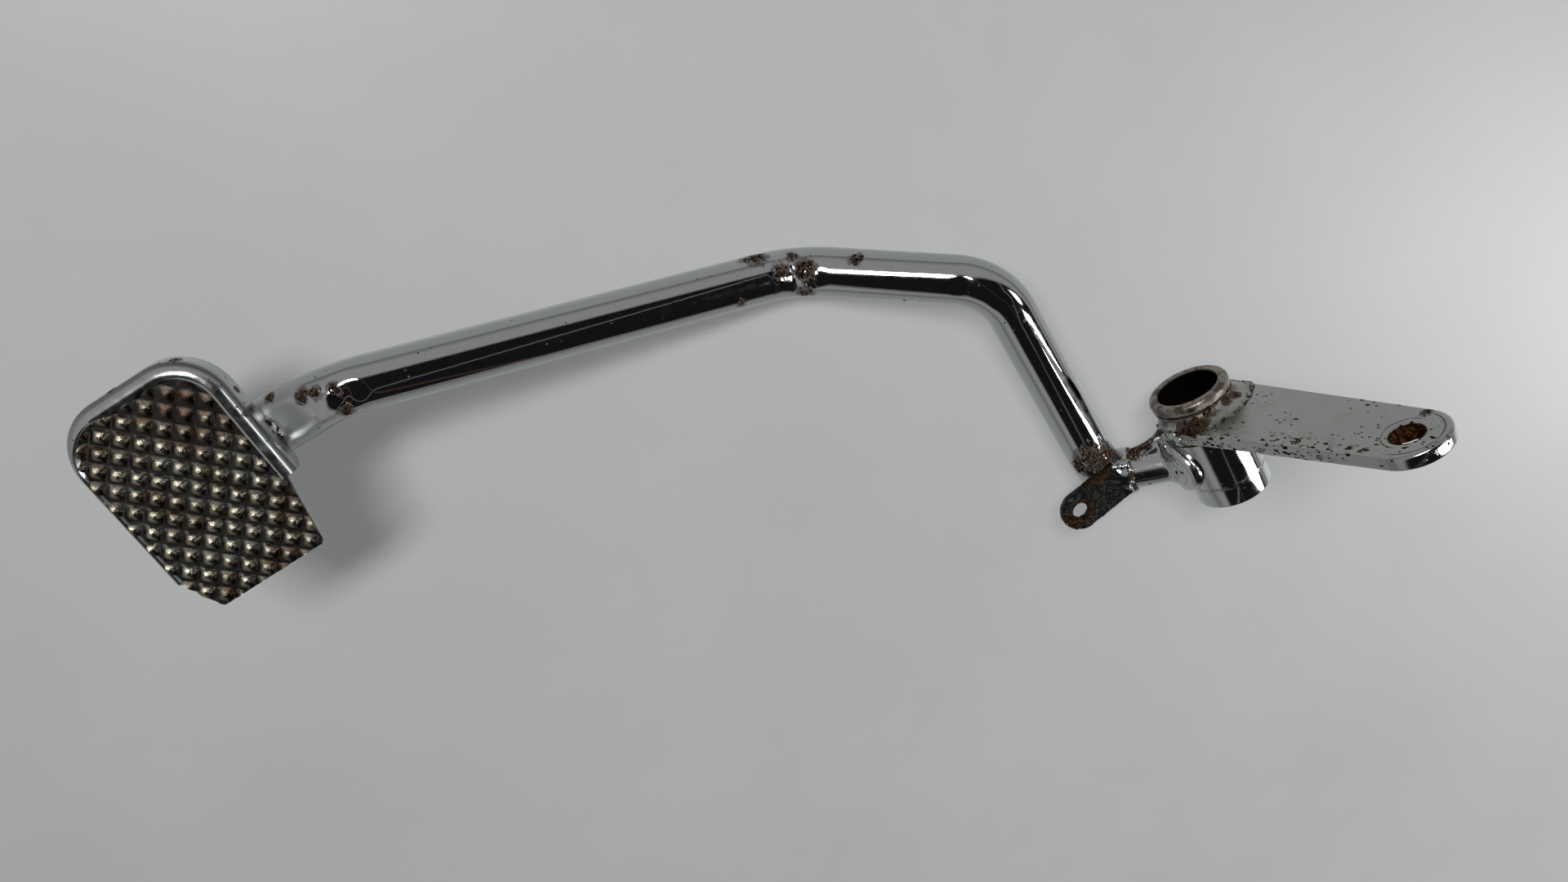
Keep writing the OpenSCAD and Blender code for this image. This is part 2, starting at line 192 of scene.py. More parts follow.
# The part of a noise's range that a faint haze is drawn from
MOTTLE = 0.35, 0.7


def new_material(name):
    """Empty material with its place in millimetres."""
    material = bpy.data.materials.new(name)
    material.use_nodes = True
    material.node_tree.nodes.clear()
    add = adder(material.node_tree)
    place = add("ShaderNodeTexCoord").outputs["Object"]
    return material, add, add(SCALED, place, named={"Scale": 1 / MM})


# The shader's own level, at which smooth plate reflects as it should
PLAIN_SHEEN = 0.5


def coats(add, base, *layers):
    """A colour under layers, each a mask and the colour that covers by it."""
    for mask, tint in layers:
        base = add(MIX, mask, base, tint)
    return base


def finish(add, base, metallic, rough, height, depth):
    """Closes a material; height 1 stands out by depth, in millimetres, and rust has no sheen."""
    bump = add("ShaderNodeBump", named={"Height": height, "Strength": 1.0, "Distance": depth * MM})
    shader = add("ShaderNodeBsdfPrincipled", named={
        "Base Color": base, "Metallic": metallic, "Roughness": rough, "Normal": bump,
        "Specular IOR Level": add(TIMES, metallic, PLAIN_SHEEN)})
    add("ShaderNodeOutputMaterial", named={"Surface": shader})


def clouds(add, where, size, low, high, detail=5.0):
    """Soft mask of clouds about size millimetres wide, 0 below low and 1 above high."""
    noise_node = add(NOISE, where, 1 / size, detail, 0.62)
    return add(STEP, noise_node, low, high, interpolation_type="SMOOTHSTEP")


def either(add, *masks):
    """Union of masks."""
    union = masks[0] if masks else 0.0
    for mask in masks[1:]:
        union = add(LARGER, union, mask)
    return union


def spots(add, where, marks, ragged=1.8, grit=1.4, crumbly=True):
    """Ragged patches, streaked along Y, each a centre and a radius in millimetres."""
    drawn = add(ALL_TIMES, where, (1.0, 0.5, 1.0))
    wobble = add(TIMES_PLUS, add(NOISE, drawn, 1 / grit, 6.0, 0.7), 2 * ragged, -ragged)
    patches = []
    for centre, radius in marks:
        apart = add(APART, where, centre)
        edge = add(TIMES_PLUS, apart, 1 / radius, wobble)
        patches.append(add(STEP, edge, 1.0, 0.75, interpolation_type="SMOOTHSTEP"))
    whole = either(add, *patches)
    return add(TIMES, whole, clouds(add, where, 0.6, 0.36, 0.5)) if crumbly else whole


def pits(add, where, cell, radius, share):
    """Small ragged pits, at most one to a cell, kept on a share of the surface."""
    bend = add(NOISE, where, 1.6, 3.0, 0.6).outputs["Color"]
    crooked = add(ALL_PLUS, where, add(ALL_TIMES, bend, (radius, radius, radius)))
    apart = add(CELLS, crooked, 1 / cell)
    inside = add(STEP, apart, radius / cell, 0.7 * radius / cell)
    return add(TIMES, inside, clouds(add, where, 9.0, 1 - share, 1.02 - share, 2.0))


def rust_tint(add, where):
    """Bright rust broken up by dark, old rust."""
    c = colours()
    return add(MIX, clouds(add, where, 0.9, 0.45, 0.65), c.old_rust, c.rust)


def wider(marks, times):
    return [(centre, times * radius) for centre, radius in marks]


def plated(name, tint, rough_low, rough_high, marks, pit_share=0.5, dull_marks=()):
    """Plated steel: a mirror skin with faint haze, pits down to dark steel, and rust through it."""
    c = colours()
    material, add, where = new_material(name)
    haze = add(STEP, add(NOISE, where, 0.35, 6.0, 0.6), *MOTTLE, rough_low, rough_high)
    holes = either(add, pits(add, where, 2.4, 0.3, pit_share), pits(add, where, 6.0, 0.6, 0.8 * pit_share))
    rust = spots(add, where, marks)
    film = add(TIMES, spots(add, where, wider(marks, 1.35), 1.0, 2.0, False), 0.6)
    base = coats(add, tint, (film, c.tarnish), (rust, rust_tint(add, where)), (holes, c.old_rust))
    worn = either(add, rust, add(TIMES, holes, 0.9))
    rough = add(TIMES_PLUS, worn, 0.6, haze, use_clamp=True)
    if dull_marks:
        rough = either(add, rough, add(TIMES, spots(add, where, dull_marks, 0.3, 3.0, False), 0.42))
    crumbs = add(TIMES, add(NOISE, where, 2.2, 4.0, 0.7), rust)
    waves = add(TIMES_PLUS, add(NOISE, where, 0.3, 2.0, 0.5), 0.05, crumbs)
    finish(add, base, add(MINUS, 1.0, worn), rough, waves, 0.25)
    return material


# Meshes

def placed(name, data):
    """A new object of the scene."""
    made = bpy.data.objects.new(name, data)
    bpy.context.collection.objects.link(made)
    return made


SAME_PLACE = 0.00001


def turn_outward(mesh, weld=False):
    """Makes every face look outward; weld first joins the points that share a place."""
    work = bmesh.new()
    work.from_mesh(mesh)
    if weld:
        bmesh.ops.remove_doubles(work, verts=work.verts, dist=SAME_PLACE)
    bmesh.ops.recalc_face_normals(work, faces=work.faces)
    work.to_mesh(mesh)
    work.free()


def new_object(name, points, faces, sharp_angle=30):
    """Object of points in millimetres, shaded smooth but for edges over the angle."""
    mesh = bpy.data.meshes.new(name)
    mesh.from_pydata([Vector(p) * MM for p in points], [], faces)
    mesh.validate()
    turn_outward(mesh)
    shade(mesh, sharp_angle)
    return placed(name, mesh)


def shade(mesh, sharp_angle):
    mesh.polygons.foreach_set("use_smooth", [True] * len(mesh.polygons))
    mesh.set_sharp_from_angle(angle=math.radians(sharp_angle))


def settle(made, sharp_angle=None):
    """Turns the evaluated object into a plain mesh without modifiers."""
    graph = bpy.context.evaluated_depsgraph_get()
    mesh = bpy.data.meshes.new_from_object(made.evaluated_get(graph))
    made.modifiers.clear()
    made.data = mesh
    if sharp_angle is not None:
        shade(mesh, sharp_angle)
    return made


def hand_over(made, material, slot, *nodes):
    """Gives the piece its material and its body, and hides the nodes it stands for; the slot is not used.
    """
    made.data.materials.clear()
    made.data.materials.append(material)
    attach(made, "root")
    if nodes:
        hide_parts(*nodes)


def loft(rings, closed=False):
    """Faces between rings of equally many points; closed joins the last ring to the first."""
    sides = len(rings[0])
    points = [p for ring in rings for p in ring]
    faces = []
    for i in range(len(rings) if closed else len(rings) - 1):
        here, there = i * sides, (i + 1) % len(rings) * sides
        for j in range(sides):
            k = (j + 1) % sides
            faces.append((here + j, here + k, there + k, there + j))
    return points, faces


def lathe(profile, steps=160):
    """Closed (radius, y) outline turned about the pivot axis."""
    rings = []
    for i in range(steps):
        turn = 2 * math.pi * i / steps
        rings.append([Vector((r * math.cos(turn), y, r * math.sin(turn))) for r, y in profile])
    return loft(rings, closed=True)


def arc(centre, radius, start, end, steps):
    """Points of an arc in a plane, angles in degrees."""
    turns = [math.radians(start + (end - start) * k / steps) for k in range(steps + 1)]
    return [(centre[0] + radius * math.cos(turn), centre[1] + radius * math.sin(turn)) for turn in turns]


def circle(centre, radius, steps):
    return arc(centre, radius, 0, 360 - 360 / steps, steps - 1)


def ball(centre, radius, squash=1.0):
    """Closed ball as points and faces in millimetres."""
    work = bmesh.new()
    bmesh.ops.create_icosphere(work, subdivisions=3, radius=radius)
    points = [Vector(centre) + Vector((v.co.x, v.co.y, v.co.z * squash)) for v in work.verts]
    faces = [tuple(v.index for v in f.verts) for f in work.faces]
    work.free()
    return points, faces


def rod(start, end, start_r, end_r, sides=48):
    """Closed cylinder or cone between two points."""
    along = (end - start).normalized()
    side = along.orthogonal().normalized()
    rings = []
    for middle, radius in ((start, start_r), (end, end_r)):
        rings.append([middle + Matrix.Rotation(2 * math.pi * j / sides, 3, along) @ side * radius
                      for j in range(sides)])
    points, faces = loft(rings)
    faces += [tuple(range(sides)), tuple(range(2 * sides - 1, sides - 1, -1))]
    return points, faces


def melt(made, voxel):
    """Remeshes the object with cells of voxel millimetres, which rounds its edges and joins its shells."""
    remesh = made.modifiers.new("Melt", "REMESH")
    remesh.mode = "VOXEL"
    remesh.voxel_size = voxel * MM


def fused(name, shells, voxel, soften):
    """Closed shells melted into one skin, as a weld is."""
    points, faces = [], []
    for shell_points, shell_faces in shells:
        start = len(points)
        points += shell_points
        faces += [tuple(start + i for i in face) for face in shell_faces]
    made = new_object(name, points, faces)
    melt(made, voxel)
    relax = made.modifiers.new("Relax", "SMOOTH")
    relax.factor = 0.5
    relax.iterations = soften
    return settle(made, 180)


def rough_up(made, amount, grit, seed=0.0):
    """Moves the skin in and out by noise; amount and grit in millimetres."""
    shift = Vector((seed, seed, seed))
    normals = [v.normal.copy() for v in made.data.vertices]
    for vertex, normal in zip(made.data.vertices, normals):
        vertex.co += normal * noise.fractal(vertex.co / MM / grit + shift, 0.6, 2.0, 4) * amount * MM
    made.data.update()


# Arm

def rounded_path(corners, radii, step):
    """Straight runs joined by arcs, in points about a step apart."""
    path = [corners[0]]
    for before, corner, after, radius in zip(corners, corners[1:], corners[2:], radii):
        back, ahead = (before - corner).normalized(), (after - corner).normalized()
        turn = math.pi - back.angle(ahead)
        middle = corner + (back + ahead).normalized() * radius / math.cos(turn / 2)
        spoke = corner + back * radius * math.tan(turn / 2) - middle
        axis = spoke.cross(-back)
        count = max(2, round(radius * turn / step))
        path += [middle + Matrix.Rotation(turn * k / count, 3, axis) @ spoke for k in range(count + 1)]
    path.append(corners[-1])
    even = [path[0]]
    for start, end in zip(path, path[1:]):
        count = max(1, round((end - start).length / step))
        even += [start.lerp(end, k / count) for k in range(1, count + 1)]
    return even


ELBOW_R, DOGLEG_R, DIP_R, LAST_R, PINCH_R = 8.0, 20.0, 34.0, 24.0, 12.0
ELBOW_TAIL = 1.8
PINCH_FROM_X, PINCH_TO_X = 188.0, 203.0
TUBE_STEP = 0.6
TUBE_SIDES = 84

# Each mark on the tube: its place, its reach along and across the tube, and how deep it goes
DENTS = [
    ((78.0, -101.6, -18.9), 1.4, 5.0, 0.9),
    ((74.6, -99.8, -18.6), 1.5, 5.0, -0.5),
    ((81.6, -103.6, -18.4), 1.3, 5.0, -0.4),
    ((72.2, -98.2, -17.9), 0.7, 0.8, -0.35),
    ((71.0, -96.6, -18.6), 0.7, 0.8, -0.3),
    ((196.0, -144.4, 12.8), 1.1, 1.2, 0.8),
    ((185.2, -142.0, 13.2), 2.4, 3.4, 0.5),
    ((191.0, -144.8, 13.2), 2.4, 3.0, -0.3),
    ((40.2, -77.6, -5.6), 2.2, 4.0, 0.2),
    ((34.2, -67.5, -4.2), 2.2, 4.0, 0.15),
]
GROOVE_FROM_X, GROOVE_TO_X, GROOVE_Y = 198.0, 207.0, -144.7
GROOVE_W, GROOVE_DEPTH = 0.5, 0.45


def stub_line():
    """The elbow's corner, the stub's direction from it, and the run at which the stub leaves the tube."""
    s = sizes()
    elbow, aim = mm(s.elbow), mm(s.stub_aim)
    direction = (aim - elbow).normalized()
    turn = math.pi - direction.angle(mm(s.dogleg) - elbow)
    return elbow, direction, ELBOW_R * math.tan(turn / 2) + ELBOW_TAIL


def dented(point, along, outward):
    """A point of the tube's skin after the marks are pressed in."""
    depth = 0.0
    for centre, reach_along, reach_across, deep in DENTS:
        apart = point - Vector(centre)
        forward = apart.dot(along)
        if abs(forward) > 3 * reach_along:
            continue
        aside = apart.length_squared - forward * forward
        depth += deep * math.exp(-(forward / reach_along) ** 2 - aside / reach_across ** 2)
    if GROOVE_FROM_X < point.x < GROOVE_TO_X and outward.z > 0.3:
        fade = min(1.0, (point.x - GROOVE_FROM_X) / 2)
        depth += GROOVE_DEPTH * fade * math.exp(-((point.y - GROOVE_Y) / GROOVE_W) ** 2)
    return point - outward * depth


def tube_rings(path, inset, press):
    s = sizes()
    tube_r = mm(s.tube_d) / 2
    rings = []
    for i, point in enumerate(path):
        along = (path[min(i + 1, len(path) - 1)] - path[max(i - 1, 0)]).normalized()
        side = UP.cross(along).normalized()
        up = along.cross(side)
        t = min(1, max(0, (point.x - PINCH_FROM_X) / (PINCH_TO_X - PINCH_FROM_X)))
        pinch = t * t * (3 - 2 * t)
        half_h = tube_r + pinch * (mm(s.pinch_h) / 2 - tube_r)
        half_w = tube_r + pinch * (mm(s.pinch_w) / 2 - tube_r)
        flank = half_w - half_h
        ring = []
        for j in range(TUBE_SIDES):
            turn = 2 * math.pi * (j + 0.5) / TUBE_SIDES
            outward = side * math.cos(turn) + up * math.sin(turn)
            skin = point + outward * (half_h - inset) + side * math.copysign(flank, math.cos(turn))
            ring.append(dented(skin, along, outward) if press else skin)
        rings.append(ring)
    return rings


def arm_path(step):
    s = sizes()
    elbow, direction, seam_run = stub_line()
    corners = [elbow + direction * seam_run, elbow]
    corners += [mm(corner) for corner in (s.dogleg, s.dip, s.last, s.pinched, s.tube_end)]
    return rounded_path(corners, (ELBOW_R, DOGLEG_R, DIP_R, LAST_R, PINCH_R), step)


ARM_RUST = [
    ((80.4, -104.4, -18.4), 2.4), ((74.6, -101.2, -18.9), 3.0), ((77.5, -95.7, -20.3), 2.4),
    ((84.2, -110.9, -21.2), 2.8), ((86.8, -111.0, -21.0), 2.0), ((75.3, -105.8, -21.2), 1.6),
    ((60.9, -96.6, -16.9), 1.9), ((94.1, -103.5, -16.2), 1.3), ((196.1, -148.9, 11.7), 2.0),
    ((192.8, -147.6, 12.6), 1.7), ((189.3, -140.0, 11.9), 2.0), ((204.1, -151.9, 7.0), 1.5),
    ((188.0, -146.0, 13.5), 1.8), ((31.6, -10.6, -7.6), 4.2), ((27.6, -8.4, -7.8), 3.8),
    ((35.2, -8.4, -9.8), 2.8), ((24.6, -6.6, -9.4), 2.0),
]

ARM_DULL = [((203.0, -146.0, 8.0), 10.5)]


class PEDAL_OT_arm(bpy.types.Operator):
    """Bends the tube, with its kink, its marks and its pinched open end"""

    bl_idname = "pedal.arm"
    bl_label = "Arm tube"

    def execute(self, context):
        outer = tube_rings(arm_path(TUBE_STEP), 0.0, True)
        inner = tube_rings(arm_path(4 * TUBE_STEP), mm(sizes().tube_wall), False)
        made = new_object("arm", *loft(outer + inner[::-1], closed=True), 40)
        chrome = plated("Chrome on bent tube", colours().chrome, 0.03, 0.1, ARM_RUST, 0.45, ARM_DULL)
        hand_over(made, chrome, "chrome", "arm_tube")
        return {"FINISHED"}


# Sleeve

BAND_LEN, BAND_STEP = 6.0, 0.2
LIP_LEN, LIP_ROUND, MOUTH_ROUND, BORE_CHAMFER = 3.0, 1.3, 1.4, 0.5


def sleeve_material():
    """Chrome on turned steel: lip worn to satin, rust in the crease behind it, a bore painted black as
    shade.
    """
    c = colours()
    material, add, where = new_material("Chrome on turned steel")
    y = add(SPLIT, where).outputs[1]
    radius = add(LONG, add(ALL_TIMES, where, (1, 0, 1)))
    uneven = add(TIMES_PLUS, add(NOISE, where, 0.6, 5.0, 0.65), 1.4, y)
    depth = add(MINUS, uneven, 0.7 + SLEEVE_LOW.y)
    lip = add(STEP, depth, LIP_LEN - 0.4, LIP_LEN - 1.2)
    bore_r = mm(sizes().bore_d) / 2
    # Painted shade: the bore is coloured near black, with no sheen, for the shade deep inside it
    inside = add(STEP, radius, bore_r + 0.9, bore_r + 0.3)
    crease = add(TIMES, add(STEP, depth, LIP_LEN - 0.9, LIP_LEN - 0.2),
                 add(STEP, depth, LIP_LEN + 1.5, LIP_LEN + 0.4))
    stained = add(TIMES, lip, clouds(add, where, 2.6, 0.45, 0.62))
    off_band = add(SIZE_OF, add(MINUS, uneven, SLEEVE_HIGH.y - BAND_LEN + 0.2))
    rubbed = add(TIMES, add(STEP, off_band, 1.0, 0.4), clouds(add, where, 1.6, 0.4, 0.6))
    rust = either(add, crease, pits(add, where, 2.2, 0.3, 0.5))
    base = coats(add, c.chrome, (lip, c.bare), (add(TIMES, stained, 0.75), c.tarnish),
                 (rust, rust_tint(add, where)), (add(TIMES, rubbed, 0.5), c.tarnish), (inside, c.bore_shade))
    worn = either(add, rust, inside)
    rough = either(add, add(STEP, add(NOISE, where, 0.4, 5.0), *MOTTLE, 0.04, 0.11), add(TIMES, lip, 0.36),
                   add(TIMES, worn, 0.8), add(TIMES, rubbed, 0.4))
    grit = add(TIMES, add(NOISE, where, 1.8, 4.0, 0.7), either(add, worn, add(TIMES, lip, 0.35)))
    finish(add, base, add(MINUS, 1.0, worn), rough, grit, 0.2)
    return material


class PEDAL_OT_sleeve(bpy.types.Operator):
    """Turns the pivot sleeve, with its rounded lip, its bore and the band at its inboard end"""

    bl_idname = "pedal.sleeve"
    bl_label = "Pivot sleeve"

    def execute(self, context):
        s = sizes()
        bore_r, sleeve_r, lip_r = mm(s.bore_d) / 2, mm(s.sleeve_d) / 2, mm(s.collar_d) / 2
        mouth, end = SLEEVE_LOW.y, SLEEVE_HIGH.y
        band_r = sleeve_r - BAND_STEP
        edge = lip_r - sleeve_r
        profile = arc((bore_r + MOUTH_ROUND, mouth + MOUTH_ROUND), MOUTH_ROUND, 180, 270, 10)
        profile += arc((lip_r - LIP_ROUND, mouth + LIP_ROUND), LIP_ROUND, -90, 0, 10)
        profile += arc((lip_r - edge, mouth + LIP_LEN - edge), edge, 0, 90, 4)
        profile += [(sleeve_r, end - BAND_LEN - 0.15), (band_r, end - BAND_LEN + 0.15)]
        profile += arc((band_r - 0.6, end - 0.6), 0.6, 0, 90, 6)
        profile += [(bore_r + BORE_CHAMFER, end), (bore_r, end - BORE_CHAMFER)]
        made = new_object("sleeve", *lathe(profile), 30)
        hand_over(made, sleeve_material(), "chrome", "pivot_sleeve")
        return {"FINISHED"}


# Stub and its beads

WEB_TOP, WEB_FOOT = 2.6, 5.3
WEB_LIFT = 1.0
BEAD_R = 2.3
BEAD_BALLS = 96
BEAD_OUT = 3.4
BEAD_LEAN = 65.0
MELT, BEAD_MELT = 0.3, 0.2
STUB_SOFTEN, BEAD_SOFTEN = 26, 3
SEAM_BALLS, SEAM_OUT, SEAM_BALL_R = 40, 0.3, 0.75


def stub_shells():
    """The stub, its web to the sleeve's neck and the bead round its root, as closed shells."""
    s = sizes()
    elbow, direction, seam_run = stub_line()
    stub_r, sleeve_r = mm(s.stub_d) / 2, mm(s.sleeve_d) / 2
    meet_run = (mm(s.stub_aim) - elbow).length - sleeve_r
    outward = (Vector((0, -1, 0)) - direction * -direction.y).normalized()
    across = direction.cross(outward)

    def at(run, rise, aside):
        return elbow + direction * run + outward * rise + across * aside

    shells = [rod(at(seam_run - 1, 0, 0), at(meet_run + 1.6, 0, 0), stub_r, stub_r)]
    neck = elbow.y + direction.y * meet_run - (SLEEVE_LOW.y + LIP_LEN)
    low, high = stub_r + WEB_LIFT, neck
    start, end = seam_run - 1.5, meet_run + 0.6
    curve = [(start + (end - start) * math.sin(t), high - (high - low) * math.cos(t))
             for t in (math.pi / 2 * k / 22 for k in range(23))]
    for run, rise in curve:
        for share in (0.0, 0.2, 0.4, 0.6, 0.8, 1.0):
            thick = WEB_TOP + (WEB_FOOT - WEB_TOP) * (1 - share) ** 2
            shells.append(ball(at(run, (rise - WEB_TOP) * share, 0), thick))
    for k in range(BEAD_BALLS):
        turn = 2 * math.pi * k / BEAD_BALLS
        swell = max(0.0, math.cos(turn - math.radians(BEAD_LEAN)))
        reach = stub_r + 0.5 + BEAD_OUT * swell
        run = meet_run
        for _ in range(8):
            spot = at(run, reach * math.cos(turn), reach * math.sin(turn))
            run += math.hypot(spot.x, spot.z) - sleeve_r - 0.5
        shells.append(ball(spot, BEAD_R * (1 + 0.06 * math.sin(5 * turn))))
        for t in (0.35, 0.7):
            part = stub_r - 1.3 + (reach - stub_r + 1.3) * t * t
            root = meet_run - 4.0 + (run - meet_run + 4.0) * t
            shells.append(ball(at(root, part * math.cos(turn), part * math.sin(turn)), 1.5 + 0.4 * t))
    return shells


def keep_out_of_bore(made):
    """Draws back into the sleeve's wall whatever would stand in its bore."""
    least = mm(sizes().bore_d) / 2 + 0.8
    for vertex in made.data.vertices:
        off_axis = math.hypot(vertex.co.x, vertex.co.z) / MM
        if off_axis < least:
            vertex.co.x *= least / off_axis
            vertex.co.z *= least / off_axis
    made.data.update()


STUB_BUMPS = [((10.4, -9.6, 3.2), 2.2), ((9.6, -7.6, 5.2), 2.2), ((7.6, -7.0, 7.8), 1.7)]
STUB_RUST = [((19.0, -4.6, -9.0), 3.0), ((15.6, -6.0, -7.0), 2.6), ((12.0, -9.0, -4.6), 2.6),
             ((11.0, -12.6, -1.6), 2.4), ((22.0, -5.0, -10.0), 2.6), ((9.0, -10.4, 7.0), 1.8)]


class PEDAL_OT_stub(bpy.types.Operator):
    """Melts the stub, the web and the bead at the sleeve into one welded form, and rings the seam"""

    bl_idname = "pedal.stub"
    bl_label = "Arm stub"

    def execute(self, context):
        shells = stub_shells() + [ball(centre, radius) for centre, radius in STUB_BUMPS]
        made = fused("stub", shells, MELT, STUB_SOFTEN)
        keep_out_of_bore(made)
        chrome = plated("Chrome on forged steel", colours().chrome, 0.06, 0.2, STUB_RUST, 0.7)
        hand_over(made, chrome, "chrome", "arm_stub", "stub_weld")
        elbow, direction, seam_run = stub_line()
        seam = elbow + direction * seam_run
        stub_r = mm(sizes().stub_d) / 2
        side = direction.orthogonal().normalized()
        beads = []
        for k in range(SEAM_BALLS):
            turn = Matrix.Rotation(2 * math.pi * k / SEAM_BALLS, 3, direction)
            beads.append(ball(seam + turn @ side * (stub_r + SEAM_OUT) + direction * 0.1, SEAM_BALL_R))
        ring = fused("seam_bead", beads, BEAD_MELT, BEAD_SOFTEN)
        rough_up(ring, 0.08, 1.2)
        hand_over(ring, crusted("Rusty weld bead", [], 0.5, 0.5), "rusted_steel", "seam_weld")
        return {"FINISHED"}


# Rusty pieces

def crusted(name, brown_marks, brown_share, bright_share, gloss=0.24, bright_marks=()):
    """Plate lost to rust: a glossy black crust, dry brown rust, and a few grey scraps of plate."""
    c = colours()
    material, add, where = new_material(name)
    brown = either(add, spots(add, where, brown_marks),
                   clouds(add, where, 1.8, 1 - brown_share, 1.08 - brown_share))
    scraps = either(add, clouds(add, where, 1.3, 1 - bright_share, 1.06 - bright_share),
                    spots(add, where, bright_marks, 0.6, 0.7, False))
    ripple = add(SIZE_OF, add(MINUS, add(NOISE, where, 0.6, 3.0, 0.6), 0.5))
    wisps = add(STEP, ripple, 0.02, 0.005, 0.0, 0.9)
    base = coats(add, c.crust, (wisps, c.grime), (scraps, c.dull), (brown, rust_tint(add, where)))
    dry = add(STEP, brown, 0.0, 1.0, gloss, 0.72)
    shine = add(MINUS, either(add, scraps, 0.88), brown, use_clamp=True)
    finish(add, base, shine, dry, add(NOISE, where, 1.5, 6.0, 0.75), 0.3)
    return material


# Lever

LEVER_ANGLE = 108.0
LEVER_REACH = 67.0
LEVER_ROOT_R, LEVER_EYE_R = 13.0, 9.8
LEVER_START = 5.0
PLATE_EDGE = 0.9
BEVEL_R, BOSS_R = 8.1, 5.7
EYE_CRUST, EYE_HEAP, HEAP_BEARING, EYE_STEPS = 0.8, 2.0, 225.0, 96
LEVER_RUST = [((-28.2, -11.5, 61.0), 1.5), ((-11.4, -11.5, 60.6), 1.1), ((-10.4, -11.5, 56.8), 1.0),
              ((-5.0, -11.5, 43.0), 1.3)]


def flat_plate(name, outline, hole, thickness, edge):
    """Plate with one hole from closed lines in millimetres, its edges rounded, on its own mid plane."""
    curve = bpy.data.curves.new(name, "CURVE")
    curve.dimensions = "2D"
    curve.fill_mode = "BOTH"
    curve.extrude = (thickness / 2 - edge) * MM
    curve.bevel_depth = edge * MM
    curve.bevel_resolution = 5
    curve.offset = -edge * MM
    for loop in (outline, hole):
        spline = curve.splines.new("POLY")
        spline.points.add(len(loop) - 1)
        for point, (x, y) in zip(spline.points, loop):
            point.co = (x * MM, y * MM, 0, 1)
        spline.use_cyclic_u = True
    drawn = placed(name, curve)
    mesh = bpy.data.meshes.new_from_object(drawn.evaluated_get(bpy.context.evaluated_depsgraph_get()))
    bpy.data.objects.remove(drawn)
    turn_outward(mesh, weld=True)
    return placed(name, mesh)


def put(made, matrix):
    """Moves the mesh, not the object."""
    made.data.transform(matrix)
    made.data.update()


def lever_frame():
    """Plane of the lever: x along it, z inboard, origin at its mid thickness on the pivot axis."""
    along = Vector((math.cos(math.radians(LEVER_ANGLE)), 0, math.sin(math.radians(LEVER_ANGLE))))
    inboard = Vector((0, 1, 0))
    aside = inboard.cross(along)
    middle = (LEVER_LOW.y + LEVER_HIGH.y) / 2 * MM
    matrix = Matrix((along, aside, inboard)).transposed().to_4x4()
    matrix.translation = Vector((0, middle, 0))
    return matrix


def lever_material():
    """Dull plate on pressed steel: clouded, pitted along its lower edge, dark rings round the eye at its
    bevel's and boss's edges.
    """
    c = colours()
    material, add, where = new_material("Dull chrome on pressed steel")
    matrix = lever_frame()
    along_dir, aside_dir = matrix.col[0].to_3d(), matrix.col[1].to_3d()
    along, across = add(DOT, where, along_dir), add(DOT, where, aside_dir)
    apart = add(APART, add(ALL_TIMES, where, (1, 0, 1)), along_dir * LEVER_REACH)
    beyond = add(STEP, along, LEVER_REACH - 1, LEVER_REACH + 2)
    lines = []
    for ring_r, side in ((BEVEL_R, beyond), (BOSS_R, add(MINUS, 1.0, beyond))):
        off = add(SIZE_OF, add(MINUS, apart, ring_r))
        line = add(TIMES, add(STEP, off, 0.3, 0.05, 0.0, 0.8), side)
        lines.append(add(TIMES, line, clouds(add, where, 3.0, 0.3, 0.5)))
    slanted = add(JOIN, add(TIMES, along, 0.5), across, add(SPLIT, where).outputs[1])
    low_edge = add(TIMES, add(STEP, across, 5.0, 8.0), add(STEP, along, 56.0, 48.0))
    dense = either(add, pits(add, slanted, 1.3, 0.45, 0.6), pits(add, slanted, 0.8, 0.24, 0.6))
    holes = either(add, pits(add, slanted, 2.8, 0.42, 0.6), pits(add, slanted, 1.2, 0.26, 0.5),
                   add(TIMES, dense, low_edge))
    streaks = add(JOIN, add(TIMES, along, 0.04), across, 0.0)
    scratched = add(STEP, add(NOISE, streaks, 1.1, 6.0, 0.7), 0.3, 0.7)
    stain = add(TIMES, clouds(add, where, 6.0, 0.45, 0.75), 0.3)
    rust = spots(add, where, LEVER_RUST)
    base = coats(add, c.dull, (stain, c.bare), (either(add, holes, *lines), c.old_rust),
                 (rust, rust_tint(add, where)))
    worn = either(add, holes, rust)
    bright = add(TIMES, add(STEP, apart, BEVEL_R + 0.6, BEVEL_R + 1.6), beyond)
    satin = add(STEP, scratched, 0.0, 1.0, 0.26, 0.38)
    rough = add(MIX, bright, satin, 0.08, data_type="FLOAT")
    rough = add(TIMES_PLUS, worn, 0.4, rough, use_clamp=True)
    bevel = add(TIMES, add(STEP, apart, BEVEL_R, BEVEL_R + 1.8), beyond)
    sunk = add(TIMES, add(TIMES_PLUS, bevel, 1.6, worn), -1.0)
    finish(add, base, add(MINUS, 1.0, worn), rough, add(TIMES_PLUS, scratched, 0.12, sunk), 0.18)
    return material


